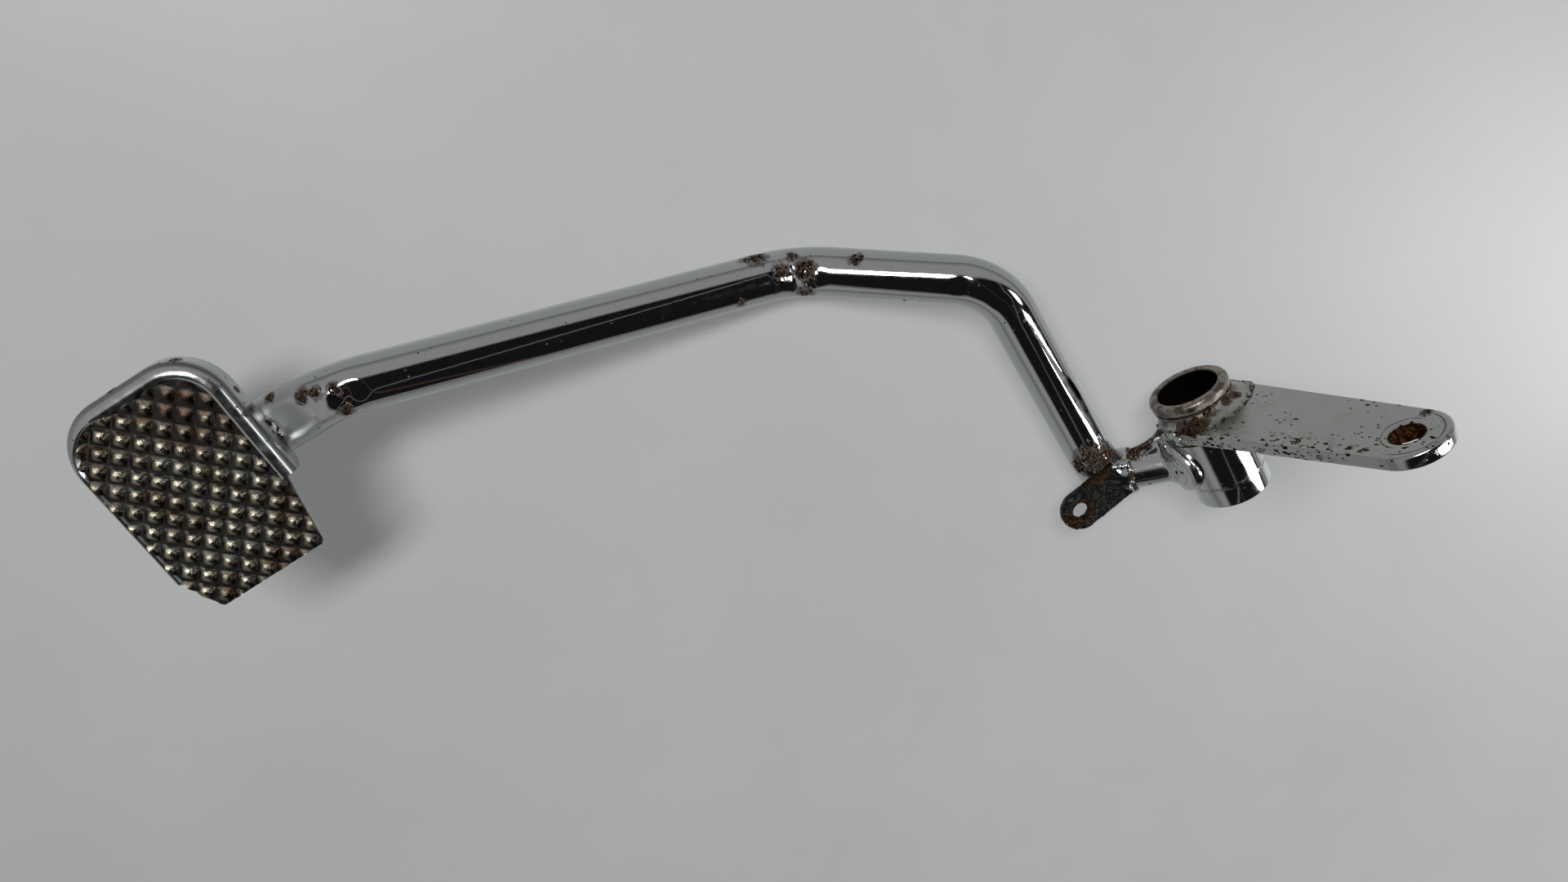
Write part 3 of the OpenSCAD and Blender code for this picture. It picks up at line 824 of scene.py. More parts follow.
class PEDAL_OT_lever(bpy.types.Operator):
    """Presses the rod lever, round at its eye, with worn edges"""

    bl_idname = "pedal.lever"
    bl_label = "Rod lever"

    def execute(self, context):
        s = sizes()
        taper = math.asin((LEVER_ROOT_R - LEVER_EYE_R) / LEVER_REACH)
        turn = 90 - math.degrees(taper)
        half_w = (LEVER_ROOT_R - LEVER_START * math.sin(taper)) / math.cos(taper)
        hug = mm(s.sleeve_d) / 2 - 0.6
        lean = math.degrees(math.acos(LEVER_START / hug))
        hole_r = mm(s.rod_hole_d) / 2
        outline = arc((LEVER_REACH, 0), LEVER_EYE_R, -turn, turn, 64) + [(LEVER_START, half_w)]
        outline += arc((0, 0), hug, lean, -lean, 24) + [(LEVER_START, -half_w)]
        thickness = LEVER_HIGH.y - LEVER_LOW.y
        made = flat_plate("lever", outline, circle((LEVER_REACH, 0), hole_r, 64), thickness, PLATE_EDGE)
        put(made, lever_frame())
        shade(made.data, 30)
        hand_over(made, lever_material(), "satin_steel", "rod_lever")
        half = thickness / 2 - 0.2
        rings = []
        for k in range(EYE_STEPS):
            a = 2 * math.pi * k / EYE_STEPS
            heap = EYE_CRUST + EYE_HEAP * max(0.0, math.cos(a - math.radians(HEAP_BEARING)))
            profile = ((-0.05, -half), (0.3, -half * 0.8), (0.5, 0), (heap, half * 0.7), (-0.05, half))
            out = Vector((math.cos(a), math.sin(a), 0))
            rings.append([Vector((LEVER_REACH, 0, z)) + out * (hole_r - inset) for inset, z in profile])
        crust = new_object("eye_crust", *loft(rings, closed=True), 60)
        put(crust, lever_frame())
        rough_up(crust, 0.15, 1.0)
        hand_over(crust, crusted("Dry rust in the eye", [], 0.66, 0.02), "rusted_steel")
        return {"FINISHED"}


# Flares between lever and sleeve

FLARE_REACH = 5.6
FLARE_SPREAD = 118.0
BACK_BEAD = 3.0
FLARE_RUST = [((5.5, -12.6, 11.6), 2.4), ((7.8, -11.8, 12.4), 2.4), ((1.6, -14.4, 11.0), 1.7),
              ((-4.9, -13.9, 10.2), 1.3), ((-8.1, -12.8, 9.1), 1.1), ((8.6, -12.6, 10.0), 2.0)]


def flare(name, face_y, tip_y, reach):
    """Concave bead between the sleeve and one face of the lever."""
    sleeve_r = mm(sizes().sleeve_d) / 2
    steps, rows = 96, 14
    rings = []
    for i in range(steps + 1):
        turn = -FLARE_SPREAD + 2 * FLARE_SPREAD * i / steps
        bearing = math.radians(LEVER_ANGLE + turn)
        half = abs(math.sin(math.radians(turn)))
        room = LEVER_ROOT_R / half - sleeve_r - 0.3 if half > 0.5 else reach
        fade = min(1.0, (FLARE_SPREAD - abs(turn)) / 25)
        leg = max(0.4, min(reach, room)) * (0.35 + 0.65 * fade)
        rise = (tip_y - face_y) * (0.4 + 0.6 * fade)
        wave = 0.12 * math.sin(turn * 0.35) * fade
        ring = []
        for k in range(rows + 1):
            t = math.pi / 2 * k / rows
            r = sleeve_r + (leg + wave) * (1 - math.sin(t))
            y = face_y + rise * (1 - math.cos(t))
            ring.append(Vector((r * math.cos(bearing), y, r * math.sin(bearing))))
        back_y = face_y + (face_y - tip_y) * 0.12
        root_r = sleeve_r - 0.8
        for r, y in ((root_r, face_y + rise), (root_r, back_y), (sleeve_r + leg + wave, back_y)):
            ring.append(Vector((r * math.cos(bearing), y, r * math.sin(bearing))))
        rings.append(ring)
    points, faces = loft(rings)
    n = len(rings[0])
    faces += [tuple(range(n)), tuple(range(len(points) - 1, len(points) - 1 - n, -1))]
    return new_object(name, points, faces, 40)


def flare_material(name, face_y, tip_y):
    """Dull plate over a weld: a rusty line along its toe, and a stained neck with rust in its crease."""
    c = colours()
    material, add, where = new_material(name)
    above = add(SIZE_OF, add(MINUS, add(SPLIT, where).outputs[1], face_y))
    above = add(TIMES_PLUS, add(NOISE, where, 0.8, 5.0, 0.7), 1.6, above)
    crease_at = abs(tip_y - face_y) + 0.6
    rust = either(add, add(STEP, above, 1.0, 0.75), add(STEP, above, crease_at - 0.9, crease_at - 0.1),
                  spots(add, where, FLARE_RUST))
    neck = add(TIMES, add(STEP, above, crease_at - 2.6, crease_at - 0.8),
               clouds(add, where, 2.6, 0.38, 0.56))
    stain = either(add, spots(add, where, wider(FLARE_RUST, 1.9), 1.0, 2.2, False), neck)
    holes = pits(add, where, 2.4, 0.26, 0.4)
    base = coats(add, c.dull, (clouds(add, where, 3.0, 0.5, 0.8), c.bare),
                 (add(TIMES, stain, 0.85), c.tarnish), (rust, rust_tint(add, where)), (holes, c.old_rust))
    rust = either(add, rust, holes)
    satin = add(STEP, add(NOISE, where, 0.3, 4.0), 0.3, 0.7, 0.2, 0.34)
    rough = add(TIMES_PLUS, rust, 0.5, satin, use_clamp=True)
    finish(add, base, add(MINUS, 1.0, rust), rough, add(NOISE, where, 1.2, 5.0, 0.7), 0.12)
    return material


class PEDAL_OT_flares(bpy.types.Operator):
    """Lays the beads between the sleeve and both faces of the lever"""

    bl_idname = "pedal.flares"
    bl_label = "Lever welds"

    def execute(self, context):
        front, back = LEVER_LOW.y, LEVER_HIGH.y
        for name, side, face, tip, reach, node in (
                ("lever_bead", "front", front, SLEEVE_LOW.y + LIP_LEN, FLARE_REACH, "lever_weld"),
                ("lever_back_bead", "back", back, back + BACK_BEAD, BACK_BEAD, "lever_back_weld")):
            made = flare(name, face, tip, reach)
            hand_over(made, flare_material(f"Dull chrome on {side} weld", face, tip), "satin_steel", node)
        return {"FINISHED"}


# Spring tab

TAB_REACH, TAB_W, TAB_ROOT, TAB_ANGLE, TAB_EDGE, TAB_MELT = 12.4, 12.0, -3.0, 8.0, 0.5, 0.22
BLOB_RUST = [((24.4, 0.4, -4.6), 1.2)]
TAB_BROWN = [((41.8, 2.2, -6.4), 4.0), ((45.6, 3.2, -6.6), 3.4), ((36.0, -4.4, -6.8), 2.2),
             ((32.0, -4.6, -6.8), 2.6)]
TAB_GLINTS = [((47.6, 3.4, -6.3), 0.6), ((46.9, 5.0, -6.3), 0.6), ((46.0, 6.2, -6.3), 0.5),
              ((45.0, 7.0, -6.4), 0.5)]
TAB_BLOBS = [((27.3, -4.6, -6.6), 0.9), ((25.6, -4.0, -6.0), 1.1), ((24.0, -3.2, -5.9), 1.2),
             ((23.6, -1.4, -5.4), 1.1), ((24.4, 0.2, -5.2), 1.0), ((25.0, 1.8, -5.0), 0.9),
             ((26.0, 3.6, -5.4), 0.8)]


class PEDAL_OT_tab(bpy.types.Operator):
    """Cuts the spring tab, crusts it and lays the blobs of weld at its root"""

    bl_idname = "pedal.tab"
    bl_label = "Spring tab"

    def execute(self, context):
        s = sizes()
        low, high = (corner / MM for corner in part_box("spring_tab"))
        half = TAB_W / 2
        outline = arc((TAB_REACH, 0), half, -90, 90, 40) + [(TAB_ROOT, half), (TAB_ROOT, -half)]
        hole = circle((TAB_REACH, 0), mm(s.spring_hole_d) / 2, 40)
        made = flat_plate("tab", outline, hole, high.z - low.z, TAB_EDGE)
        elbow = mm(s.elbow)
        matrix = Matrix.Rotation(math.radians(TAB_ANGLE), 4, "Z")
        matrix.translation = Vector((elbow.x, elbow.y, (low.z + high.z) / 2)) * MM
        put(made, matrix)
        melt(made, TAB_MELT)
        settle(made, 180)
        rough_up(made, 0.16, 1.4)
        crust = crusted("Rust crust on pressed tab", TAB_BROWN, 0.3, 0.3, 0.12, TAB_GLINTS)
        hand_over(made, crust, "rusted_steel", "spring_tab")
        blobs = fused("tab_bead", [ball(centre, radius) for centre, radius in TAB_BLOBS], BEAD_MELT, 2)
        chrome = plated("Chrome on weld blobs", colours().chrome, 0.05, 0.12, BLOB_RUST)
        hand_over(blobs, chrome, "chrome")
        return {"FINISHED"}


# Foot pad

FOLD_R = 3.4
REAR_CORNER_R, FRONT_CORNER_R, FLANGE_END_R = 13.5, 14.0, 4.0
TONGUE_REAR, TONGUE_FRONT = 18.8, 10.4
TONGUE_STEP, TONGUE_REAR_IN, TONGUE_FRONT_IN = 3.2, 6.5, 5.5
TREAD_SINK = 0.4
MARGIN, FRONT_MARGIN = 3.6, 1.2
TREAD_SHIFT_X, TREAD_SHIFT_Y = 3.9, 26.6
RIM_SLOPE, HEM_R = 1.5, 0.5


def pad_levels():
    """Heights of the pad: the valley between pyramids, and the plate's underside."""
    top = PAD_HIGH.z
    return top - TREAD_SINK - mm(sizes().pyramid_h), top - mm(sizes().sheet_t)


def flange_stations():
    """Places along the folded edge: point, outward direction, tread margin and run from the nearer end."""
    rear, front, out, tip = PAD_LOW.x, PAD_HIGH.x, PAD_LOW.y, PAD_HIGH.y
    rear_end, front_end = tip - TONGUE_REAR, tip - TONGUE_FRONT
    rear_bend, front_bend = out + REAR_CORNER_R, out + FRONT_CORNER_R
    places = []

    def straight(start, end, outward, margin, count):
        for k in range(count):
            places.append((Vector(start).lerp(Vector(end), k / count), Vector(outward), margin))

    def corner(centre, radius, start, margin_to, count):
        for k in range(count):
            t = k / count
            turn = math.radians(start + 90 * t)
            outward = Vector((math.cos(turn), math.sin(turn)))
            places.append((Vector(centre) + outward * radius, outward, MARGIN + (margin_to - MARGIN) * t))

    straight((rear, rear_end), (rear, rear_end - FLANGE_END_R), (-1, 0), MARGIN, 10)
    straight((rear, rear_end - FLANGE_END_R), (rear, rear_bend), (-1, 0), MARGIN, 20)
    corner((rear + REAR_CORNER_R, rear_bend), REAR_CORNER_R, 180, MARGIN, 28)
    straight((rear + REAR_CORNER_R, out), (front - FRONT_CORNER_R, out), (0, -1), MARGIN, 16)
    corner((front - FRONT_CORNER_R, front_bend), FRONT_CORNER_R, 270, FRONT_MARGIN, 28)
    straight((front, front_bend), (front, front_end - FLANGE_END_R), (1, 0), FRONT_MARGIN, 24)
    straight((front, front_end - FLANGE_END_R), (front, front_end), (1, 0), FRONT_MARGIN, 10)
    places.append((Vector((front, front_end)), Vector((1, 0)), FRONT_MARGIN))
    runs = [0.0]
    for before, after in zip(places, places[1:]):
        runs.append(runs[-1] + (after[0] - before[0]).length)
    return [(*place, min(run, runs[-1] - run)) for place, run in zip(places, runs)]


def flange_section(margin, from_end):
    """Section of the folded edge as (inset, height), from the valley over the fold to the underside."""
    valley, under = pad_levels()
    top, bottom = PAD_HIGH.z, PAD_LOW.z
    short = max(0.0, FLANGE_END_R - from_end)
    bottom += FLANGE_END_R - math.sqrt(FLANGE_END_R ** 2 - short ** 2)
    sheet = mm(sizes().sheet_t)
    reach = math.acos(max(-1.0, 1 - margin / FOLD_R)) if margin < FOLD_R else math.pi / 2
    turns = [reach * k / 10 for k in range(11)]
    fold = [(FOLD_R * (1 - math.cos(turn)), top - FOLD_R + FOLD_R * math.sin(turn)) for turn in turns]
    last_in, last_z = fold[-1]
    rim = max(margin, last_in)
    drop = last_z - valley
    section = [(rim + RIM_SLOPE * 1.2, valley)]
    section += [(rim + RIM_SLOPE * t, valley + drop * (1 - t * t * (3 - 2 * t)) - 0.02)
                for t in (1.0, 0.8, 0.6, 0.4, 0.2)]
    section += fold[::-1]
    section += [(0.0, bottom + (top - FOLD_R - bottom) * k / 4) for k in (3, 2, 1)]
    low = bottom + HEM_R
    section += arc((HEM_R, low), HEM_R, 180, 270, 4) + arc((sheet - HEM_R, low), HEM_R, 270, 360, 4)
    inner = FOLD_R - sheet
    section += arc((FOLD_R, under - inner), inner, 180, 90, 4)
    section.append((FOLD_R + 1.0, under))
    return section


def tongue_outline():
    rear, front, tip = PAD_LOW.x, PAD_HIGH.x, PAD_HIGH.y
    rear_end, front_end = tip - TONGUE_REAR, tip - TONGUE_FRONT
    return [(front - 1.7, front_end + 0.2), (front - TONGUE_FRONT_IN / 2, front_end + TONGUE_STEP),
            (front - TONGUE_FRONT_IN, tip - 0.8), (front - TONGUE_FRONT_IN - 0.8, tip),
            (rear + TONGUE_REAR_IN + 0.8, tip), (rear + TONGUE_REAR_IN, tip - 0.8),
            (rear + TONGUE_STEP, rear_end + 0.2)]


def pad_shell():
    """Folded edge, plate and tongue as one closed shell; the tread stands on it."""
    valley, under = pad_levels()
    rings = []
    for point, outward, margin, from_end in flange_stations():
        section = flange_section(margin, from_end)
        rings.append([Vector((*(point - outward * inset), z)) for inset, z in section])
    n = len(rings[0])
    points = [p for ring in rings for p in ring]
    faces = [(i * n + j, i * n + j + 1, (i + 1) * n + j + 1, (i + 1) * n + j)
             for i in range(len(rings) - 1) for j in range(n - 1)]
    last = (len(rings) - 1) * n
    faces += [tuple(range(n)), tuple(last + j for j in reversed(range(n)))]
    tongue = tongue_outline()
    first_top = len(points)
    points += [Vector((x, y, valley)) for x, y in tongue]
    first_under = len(points)
    points += [Vector((x, y, under)) for x, y in tongue]
    tops = [i * n for i in range(len(rings))] + list(range(first_top, first_under))
    unders = [i * n + n - 1 for i in range(len(rings))] + list(range(first_under, len(points)))
    faces += [tuple(tops), tuple(reversed(unders))]
    edge = len(rings) - 1
    for k in range(edge, len(tops)):
        nxt = (k + 1) % len(tops)
        faces.append((tops[k], tops[nxt], unders[nxt], unders[k]))
    return points, faces


def tread_block():
    """Prism that bounds the tread: up to the rim on three sides and to the tongue's free edges."""
    valley = pad_levels()[0]
    top = PAD_HIGH.z - TREAD_SINK
    outline = [point - outward * (margin + 0.25) for point, outward, margin, _ in flange_stations()]
    outline += [Vector(p) for p in tongue_outline()]
    n = len(outline)
    points = [Vector((p.x, p.y, z)) for z in (valley - 0.15, top + 0.3) for p in outline]
    faces = [tuple(reversed(range(n))), tuple(range(n, 2 * n))]
    faces += [(i, (i + 1) % n, (i + 1) % n + n, i + n) for i in range(n)]
    return new_object("tread_bound", points, faces)


def tread_tree(material, bound):
    """Geometry nodes: one worn pyramid on each point of a turned grid, cut to the tread's outline."""
    tree = bpy.data.node_groups.new("Tread pyramids", "GeometryNodeTree")
    face = tree.interface
    face.new_socket("Geometry", in_out="OUTPUT", socket_type="NodeSocketGeometry")
    for kind, names in (("Float", ("Pitch", "Height", "Gap", "Wear")), ("Int", ("Count", "Seed")),
                        ("Vector", ("Centre", "Worn Toward"))):
        for name in names:
            face.new_socket(name, in_out="INPUT", socket_type="NodeSocket" + kind)
    add = adder(tree)
    given = add("NodeGroupInput").outputs
    side = add(MINUS, given["Pitch"], given["Gap"])
    block = add("GeometryNodeMeshCube", add(JOIN, side, side, ROOT * 2 * MM), FACETS, FACETS, 2)
    spot = add(SPLIT, add("GeometryNodeInputPosition")).outputs
    spread = []
    for axis in (0, 1):
        share = add(TIMES, add(OVER, spot[axis], side), 2.0)
        spread.append(add(POWER, add(SIZE_OF, share), RIDGE))
    far = add(POWER, add(PLUS, *spread), 1 / RIDGE, use_clamp=True)
    rise = add(MINUS, 1.0, add(POWER, far, DOME))
    lift = add(JOIN, 0.0, 0.0, add(TIMES, rise, given["Height"]))
    upper = add(MORE_THAN, spot[2], 0.0)
    pyramid = add("GeometryNodeSetPosition", block, upper, named={"Offset": lift})
    span = add(TIMES, given["Pitch"], add(MINUS, given["Count"], 1.0))
    grid = add("GeometryNodeMeshGrid", span, span, given["Count"], given["Count"])
    turn = (0, 0, math.pi / 4)
    turned = add("GeometryNodeTransform", grid, named={"Translation": given["Centre"], "Rotation": turn})
    limit = add("GeometryNodeObjectInfo", named={"Object": bound}).outputs["Geometry"]
    gap_to = add("GeometryNodeProximity", named={0: limit}, target_element="FACES").outputs["Distance"]
    near = add("GeometryNodeDeleteGeometry", turned, add(MORE_THAN, gap_to, given["Pitch"]))
    place = add("GeometryNodeInputPosition")
    low = add(STEP, add(APART, place, given["Worn Toward"]), *WORN_REACH, WORN_LEAST, 1.0)
    luck = add("FunctionNodeRandomValue", named={**LUCK, "Seed": given["Seed"]}).outputs[1]
    scale = add(JOIN, 1.0, 1.0, add(TIMES, low, luck))
    placed = add("GeometryNodeInstanceOnPoints", named={
        "Points": near, "Instance": pyramid, "Rotation": turn, "Scale": scale})
    single = add("GeometryNodeRealizeInstances", placed)
    cut = add("GeometryNodeMeshBoolean", operation="INTERSECT", solver="EXACT")
    for part in (single.outputs[0], limit):
        tree.links.new(part, cut.inputs[1])
    speckle = add(NOISE, place, 0.5 / MM, 3.0).outputs["Color"]
    shift = add(SCALED, add(ALL_MINUS, speckle, (0.5, 0.5, 0.5)), named={"Scale": given["Wear"]})
    worn = add("GeometryNodeSetPosition", cut, named={"Offset": shift})
    whole = add("GeometryNodeRealizeInstances", worn)
    add("NodeGroupOutput", add("GeometryNodeSetMaterial", whole, named={"Material": material}))
    return tree


PAD_RUST = [((207.4, -142.0, 9.4), 1.6), ((208.5, -152.5, 13.5), 1.2), ((214.0, -170.5, 12.0), 1.4),
            ((225.0, -173.0, 11.0), 1.2), ((207.6, -158.0, 11.0), 1.0), ((230.0, -173.2, 12.0), 1.5)]


def pad_material():
    """Worn chrome on pressed sheet: a satin haze, freckles of rust, and darker grey at the level between
    the pyramids.
    """
    c = colours()
    material = plated("Worn chrome on pressed sheet", c.chrome, 0.14, 0.28, PAD_RUST, 0.6)
    tree = material.node_tree
    add = adder(tree)
    tint = next(node for node in tree.nodes if node.type == "BSDF_PRINCIPLED").inputs["Base Color"]
    height = add(TIMES, add(SPLIT, add("ShaderNodeTexCoord").outputs["Object"]).outputs[2], 1 / MM)
    valley = pad_levels()[0]
    foot = add(TIMES, add(STEP, height, valley + 0.9, valley + 0.1, 0.0, 0.75),
               add(STEP, height, valley - 0.9, valley - 0.3))
    darker_foot = add(MIX, foot, tint.links[0].from_socket, c.grime)
    tree.links.new(darker_foot.outputs[2], tint)
    return material


def tread_material():
    """Tarnished chrome: warm bright spots on the tops, brown and greenish grey flanks, near black at the
    foot.
    """
    c = colours()
    material, add, where = new_material("Tarnished chrome tread")
    valley = pad_levels()[0]
    uneven = add(TIMES_PLUS, add(NOISE, where, 0.6, 5.0, 0.65), 0.7, add(SPLIT, where).outputs[2])
    level = add(MINUS, uneven, valley + 0.35)
    top = add(STEP, level, 0.5, 1.0)
    foot = add(STEP, level, 0.25, -0.05, 0.0, 0.7)
    middle = Vector(((PAD_LOW.x + PAD_HIGH.x) / 2 + 4, PAD_LOW.y + 34, valley))
    edge = add(STEP, add(APART, where, middle), 15.0, 23.0, 0.0, 0.5)
    film = add(PLUS, clouds(add, where, 9.0, 0.46, 0.7), edge, use_clamp=True)
    flank = add(MIX, film, c.grime, c.tarnish)
    tops = add(MIX, add(TIMES, film, 0.55), c.tread, c.tarnish)
    rust = add(TIMES, clouds(add, where, 3.0, 0.66, 0.72), 0.6)
    base = coats(add, flank, (top, tops), (foot, c.crust), (rust, c.rust))
    dull = either(add, rust, foot)
    rough = add(STEP, add(NOISE, where, 0.9, 4.0, 0.6), 0.3, 0.7, 0.07, 0.17)
    rough = add(TIMES_PLUS, dull, 0.4, rough, use_clamp=True)
    finish(add, base, add(MINUS, 1.0, dull), rough, add(NOISE, where, 2.2, 4.0, 0.7), 0.1)
    return material


TREAD_GAP, TREAD_WEAR, TREAD_COUNT, TREAD_SEED = 0.2, 0.2, 17, 3
ROOT, FACETS = 0.12, 7
RIDGE, DOME = 4.0, 1.5
# The pyramids near this corner stand at half their height within 6 mm of it, and at their own beyond 22 mm
WORN_TOWARD, WORN_REACH, WORN_LEAST = Vector((212.0, -168.0, 14.0)), (0.006, 0.022), 0.5
# Least and greatest share of its height that wear leaves a pyramid
LUCK = {2: 0.86, 3: 1.04}


class PEDAL_OT_pad(bpy.types.Operator):
    """Presses the foot pad and cuts its tread of pyramids"""

    bl_idname = "pedal.pad"
    bl_label = "Foot pad"

    def execute(self, context):
        s = sizes()
        shell = new_object("pad", *pad_shell(), 32)
        hand_over(shell, pad_material(), "pad_chrome", "foot_pad")
        bound = tread_block()
        material = tread_material()
        tread = new_object("tread", [Vector((0, 0, 0))], [])
        grow = tread.modifiers.new("Pyramids", "NODES")
        grow.node_group = tread_tree(material, bound)
        middle_x = (PAD_LOW.x + PAD_HIGH.x) / 2
        centre = Vector((middle_x + TREAD_SHIFT_X, PAD_LOW.y + TREAD_SHIFT_Y, pad_levels()[0] - 0.1))
        values = {"Pitch": s.pitch, "Height": s.pyramid_h - 0.02 * MM, "Gap": TREAD_GAP * MM,
                  "Wear": TREAD_WEAR * MM, "Count": TREAD_COUNT, "Seed": TREAD_SEED,
                  "Centre": centre * MM, "Worn Toward": WORN_TOWARD * MM}
        for socket in grow.node_group.interface.items_tree:
            if socket.in_out == "INPUT":
                grow[socket.identifier] = values[socket.name]
        settle(tread, 55)
        bpy.data.objects.remove(bound)
        hand_over(tread, material, "pad_chrome")
        return {"FINISHED"}


PAD_BALLS, PAD_BALL_R = 12, 0.75


class PEDAL_OT_pad_bead(bpy.types.Operator):
    """Lays the rusty bead between the pinched tube and the pad's rear edge"""

    bl_idname = "pedal.pad_bead"
    bl_label = "Pad weld"

    def execute(self, context):
        low, high = (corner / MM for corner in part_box("pad_weld"))
        beads = []
        for k in range(PAD_BALLS):
            y = low.y + (high.y - low.y) * k / (PAD_BALLS - 1)
            beads.append(ball((high.x - 0.2, y, low.z + 0.1), PAD_BALL_R + 0.15 * math.sin(2.1 * k)))
        made = fused("pad_bead", beads, BEAD_MELT, BEAD_SOFTEN)
        hand_over(made, crusted("Rusty weld at the pad", [], 0.4, 0.55), "rusted_steel", "pad_weld")
        return {"FINISHED"}


# Studio

CAMERA_PLACE, CAMERA_TURN, CAMERA_LENS = (0.0921, -0.1725, 0.2900), (-17.985, -8.508, 148.818), 26.0
FLOOR_R, ROOM_R = 6.0, 2.0
BOARD_SHADE, BOARD_CLOUDS, BOARD_ROUGH = 0.95, 90.0, 0.42
AIR_LIGHT, WALL_LIGHT, HORIZON_LIGHT, GLOW_LIGHT = 0.12, 0.42, 0.22, 0.45
BACKDROP, BACKDROP_LIGHT = (0.97, 0.98, 1.0, 1.0), 0.46
FADE_FROM, FADE_TO = 600.0, 1500.0
SIDE_WINDOW, KEY_WINDOW = (142, 31), (281, 62)
# Each lamp: direction, distance, width and height in metres, radiance, and whether it casts a shadow
LAMPS = {"side_window": (*SIDE_WINDOW, 1.3, 0.30, 0.68, 14.5, False),
         "key_window": (*KEY_WINDOW, 1.4, 0.6, 0.24, 21.3, True)}
DARK_MIDDLE, DARK_REACH, DARK_LIGHT = (110.0, 60.0), 57.0, (0.012, 0.012, 0.013, 1.0)
# A bright pane in the dome, seen only in reflections, that paints a highlight on the pad's rolled edge
PANE, PANE_REACH, PANE_LIGHT = (174, 41), 8.0, (3.0, 3.1, 3.2, 1.0)
BEAM_EDGE = 0.02, 0.01
# Pale and brown beams across the dome's dark patch, painted reflections, each through two directions
BEAMS = (((162, 66), (190, 53), (0.20, 0.20, 0.19, 1.0)), ((78, 42), (82, 74), (0.09, 0.05, 0.035, 1.0)))


def direction_of(bearing, height):
    """Unit vector from a bearing about Z and a height above the horizon, in degrees."""
    b, h = math.radians(bearing), math.radians(height)
    return Vector((math.cos(h) * math.cos(b), math.cos(h) * math.sin(b), math.sin(h)))


def lamp(name, bearing, height, distance, wide, tall, radiance, shadow):
    """Soft box aimed at the pedal; radiance 1 is white."""
    light = bpy.data.lights.new(name, "AREA")
    light.shape = "RECTANGLE"
    light.size, light.size_y = wide, tall
    light.energy = radiance * math.pi * wide * tall
    light.use_shadow = shadow
    box = placed(name, light)
    toward = direction_of(bearing, height)
    box.location = (CAD_BOX[0] + CAD_BOX[1]) / 2 + toward * distance
    box.rotation_euler = toward.to_track_quat("Z", "Y").to_euler()


def reflection_dome():
    """Dome that only the metal sees, as painted reflections: black overhead on one side, grey lower down,
    two beams and a pane.
    """
    work = bmesh.new()
    bmesh.ops.create_uvsphere(work, u_segments=48, v_segments=24, radius=ROOM_R)
    mesh = bpy.data.meshes.new("room")
    work.to_mesh(mesh)
    work.free()
    mesh.flip_normals()
    room = placed("room", mesh)
    material, add, where = new_material("Painted reflection dome")
    unit = add(UNIT, where)

    def within(place, reach, blur):
        """1 inside a round patch of the dome, in degrees from its middle."""
        inner, outer = (math.cos(math.radians(reach + turn)) for turn in (-blur, blur))
        return add(STEP, add(DOT, unit, direction_of(*place)), outer, inner)

    # The dome glows but lights nothing: all it shows is painted reflection in the metal
    wall = add(STEP, add(SIZE_OF, add(SPLIT, unit).outputs[2]), 0.03, 0.3, HORIZON_LIGHT, WALL_LIGHT)
    to_window = add(DOT, unit, direction_of(*SIDE_WINDOW))
    wall = add(PLUS, add(STEP, to_window, 0.85, 1.0, 0.0, GLOW_LIGHT), wall)
    dark = within(DARK_MIDDLE, DARK_REACH, 4)
    light = add(MIX, dark, wall, DARK_LIGHT)
    for start, end, shade_of in BEAMS:
        across = direction_of(*start).cross(direction_of(*end)).normalized()
        beam = add(STEP, add(SIZE_OF, add(DOT, unit, across)), *BEAM_EDGE)
        light = add(MIX, add(TIMES, beam, dark), light, shade_of)
    # Painted highlight: the pane shows only in the metal, as a bright line on the pad's rolled edge
    light = add(MIX, within(PANE, PANE_REACH, 1), light, PANE_LIGHT)
    add("ShaderNodeOutputMaterial", add("ShaderNodeEmission", light))
    mesh.materials.append(material)
    for ray in ("camera", "diffuse", "shadow", "transmission", "volume_scatter"):
        setattr(room, "visible_" + ray, False)


def looked_at(add):
    """1 where the backdrop is seen, straight or in metal, and 0 where it lights the pedal."""
    ray = add("ShaderNodeLightPath").outputs
    return either(add, ray["Is Camera Ray"], ray["Is Glossy Ray"], ray["Is Transmission Ray"])


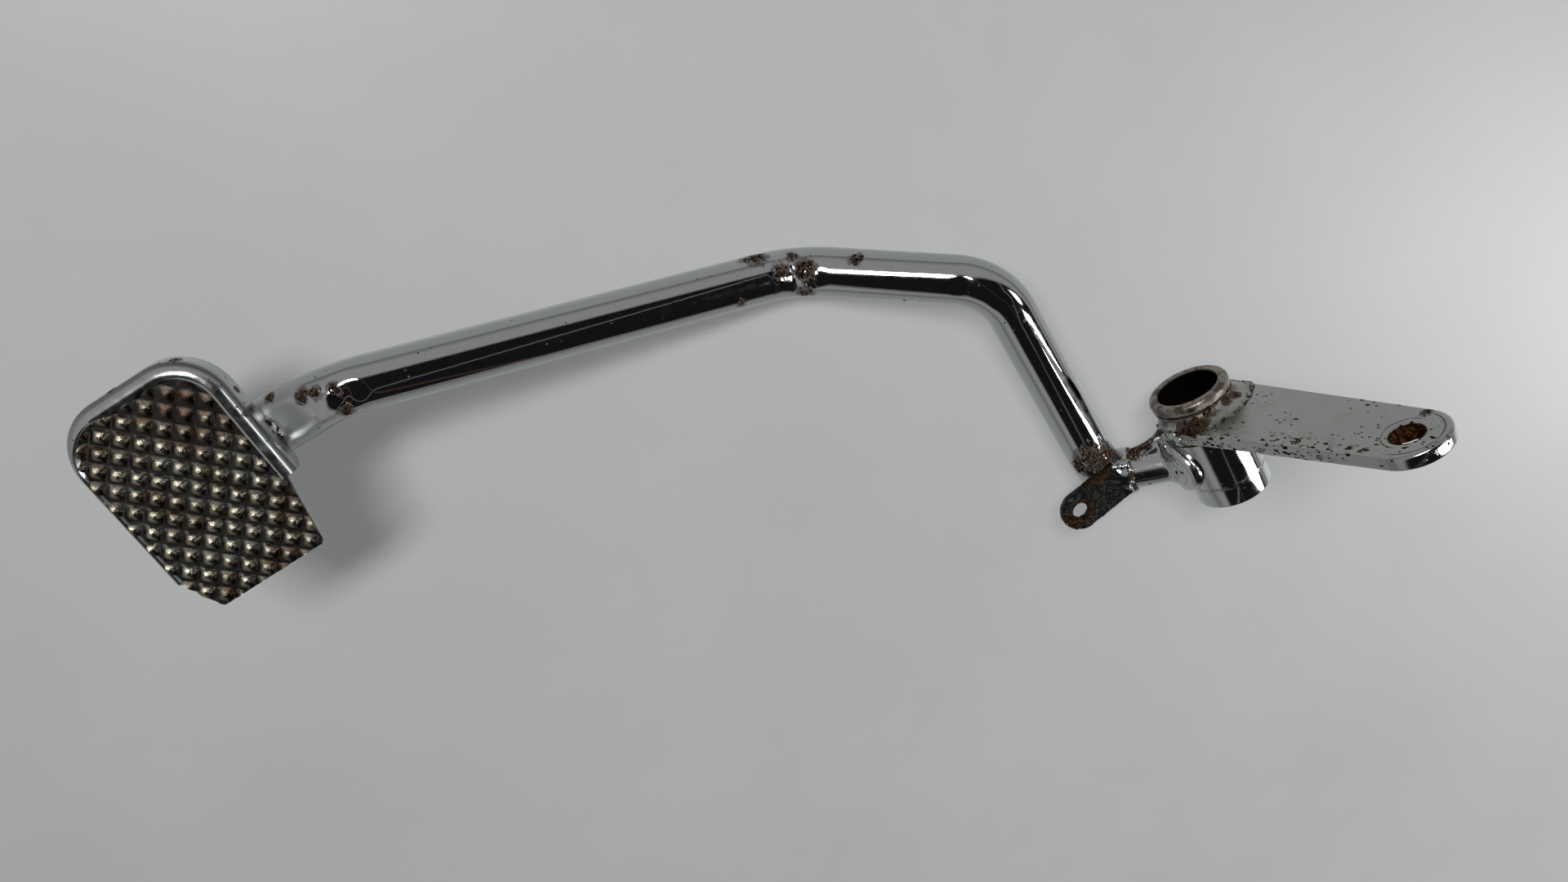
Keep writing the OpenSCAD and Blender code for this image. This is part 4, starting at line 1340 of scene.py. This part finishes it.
class PEDAL_OT_studio(bpy.types.Operator):
    """Sets the pale table, the soft light and the camera"""

    bl_idname = "pedal.studio"
    bl_label = "Studio"

    def execute(self, context):
        scene = context.scene
        rim = [Vector((x, y, FLOOR_Z)) / MM for x, y in circle((0, 0), FLOOR_R, 64)]
        floor = new_object("floor", rim, [tuple(range(len(rim)))])
        if floor.data.polygons[0].normal.z < 0:
            floor.data.flip_normals()
        material, add, where = new_material("Pale lacquered board")
        pale = colours().floor
        clouded = [BOARD_SHADE * c for c in pale[:3]] + [1.0]
        base = add(MIX, clouds(add, where, BOARD_CLOUDS, 0.3, 0.7), pale, clouded)
        board = add("ShaderNodeBsdfPrincipled", named={"Base Color": base, "Roughness": BOARD_ROUGH})
        away = add(STEP, add(LONG, where), FADE_FROM, FADE_TO)
        far_board = add("ShaderNodeEmission", BACKDROP, BACKDROP_LIGHT)
        board = add("ShaderNodeMixShader", add(TIMES, away, looked_at(add)), board, far_board)
        from_below = add("ShaderNodeNewGeometry").outputs["Backfacing"]
        shell = add("ShaderNodeMixShader", from_below, board, add("ShaderNodeBsdfTransparent"))
        add("ShaderNodeOutputMaterial", shell)
        floor.data.materials.append(material)
        camera = placed("camera", bpy.data.cameras.new("camera"))
        camera.data.lens = CAMERA_LENS
        camera.data.clip_start, camera.data.clip_end = 0.01, 50
        camera.location = CAMERA_PLACE
        camera.rotation_euler = Euler([math.radians(a) for a in CAMERA_TURN])
        scene.camera = camera
        for name, settings in LAMPS.items():
            lamp(name, *settings)
        reflection_dome()
        world = bpy.data.worlds.new("Studio air")
        scene.world = world
        world.use_nodes = True
        world.node_tree.nodes.clear()
        add = adder(world.node_tree)
        level = add(STEP, looked_at(add), 0.0, 1.0, AIR_LIGHT, BACKDROP_LIGHT)
        add("ShaderNodeOutputWorld", add("ShaderNodeBackground", BACKDROP, level))
        scene.view_settings.view_transform = "Standard"
        return {"FINISHED"}


class PEDAL_PT_panel(bpy.types.Panel):
    """Lists the pedal's pieces and settings"""

    bl_idname = "PEDAL_PT_panel"
    bl_label = "Rear brake pedal"
    bl_space_type = "VIEW_3D"
    bl_region_type = "UI"
    bl_category = "Pedal"

    def draw(self, context):
        for operator in OPERATORS:
            self.layout.operator(operator.bl_idname)
        for group in (sizes(), colours()):
            box = self.layout.box()
            for name in group.__annotations__:
                box.prop(group, name)


OPERATORS = (PEDAL_OT_arm, PEDAL_OT_sleeve, PEDAL_OT_stub, PEDAL_OT_lever, PEDAL_OT_flares, PEDAL_OT_tab,
             PEDAL_OT_pad, PEDAL_OT_pad_bead, PEDAL_OT_studio)
CLASSES = (PedalSizes, PedalColours, *OPERATORS, PEDAL_PT_panel)


def register():
    for cls in CLASSES:
        bpy.utils.register_class(cls)
    bpy.types.Scene.pedal_sizes = bpy.props.PointerProperty(type=PedalSizes)
    bpy.types.Scene.pedal_colours = bpy.props.PointerProperty(type=PedalColours)


def unregister():
    del bpy.types.Scene.pedal_sizes
    del bpy.types.Scene.pedal_colours
    for cls in reversed(CLASSES):
        bpy.utils.unregister_class(cls)


def main():
    """Builds every piece and the studio."""
    register()
    for operator in OPERATORS:
        group, name = operator.bl_idname.split(".")
        getattr(getattr(bpy.ops, group), name)()


if __name__ == "__main__":
    main()
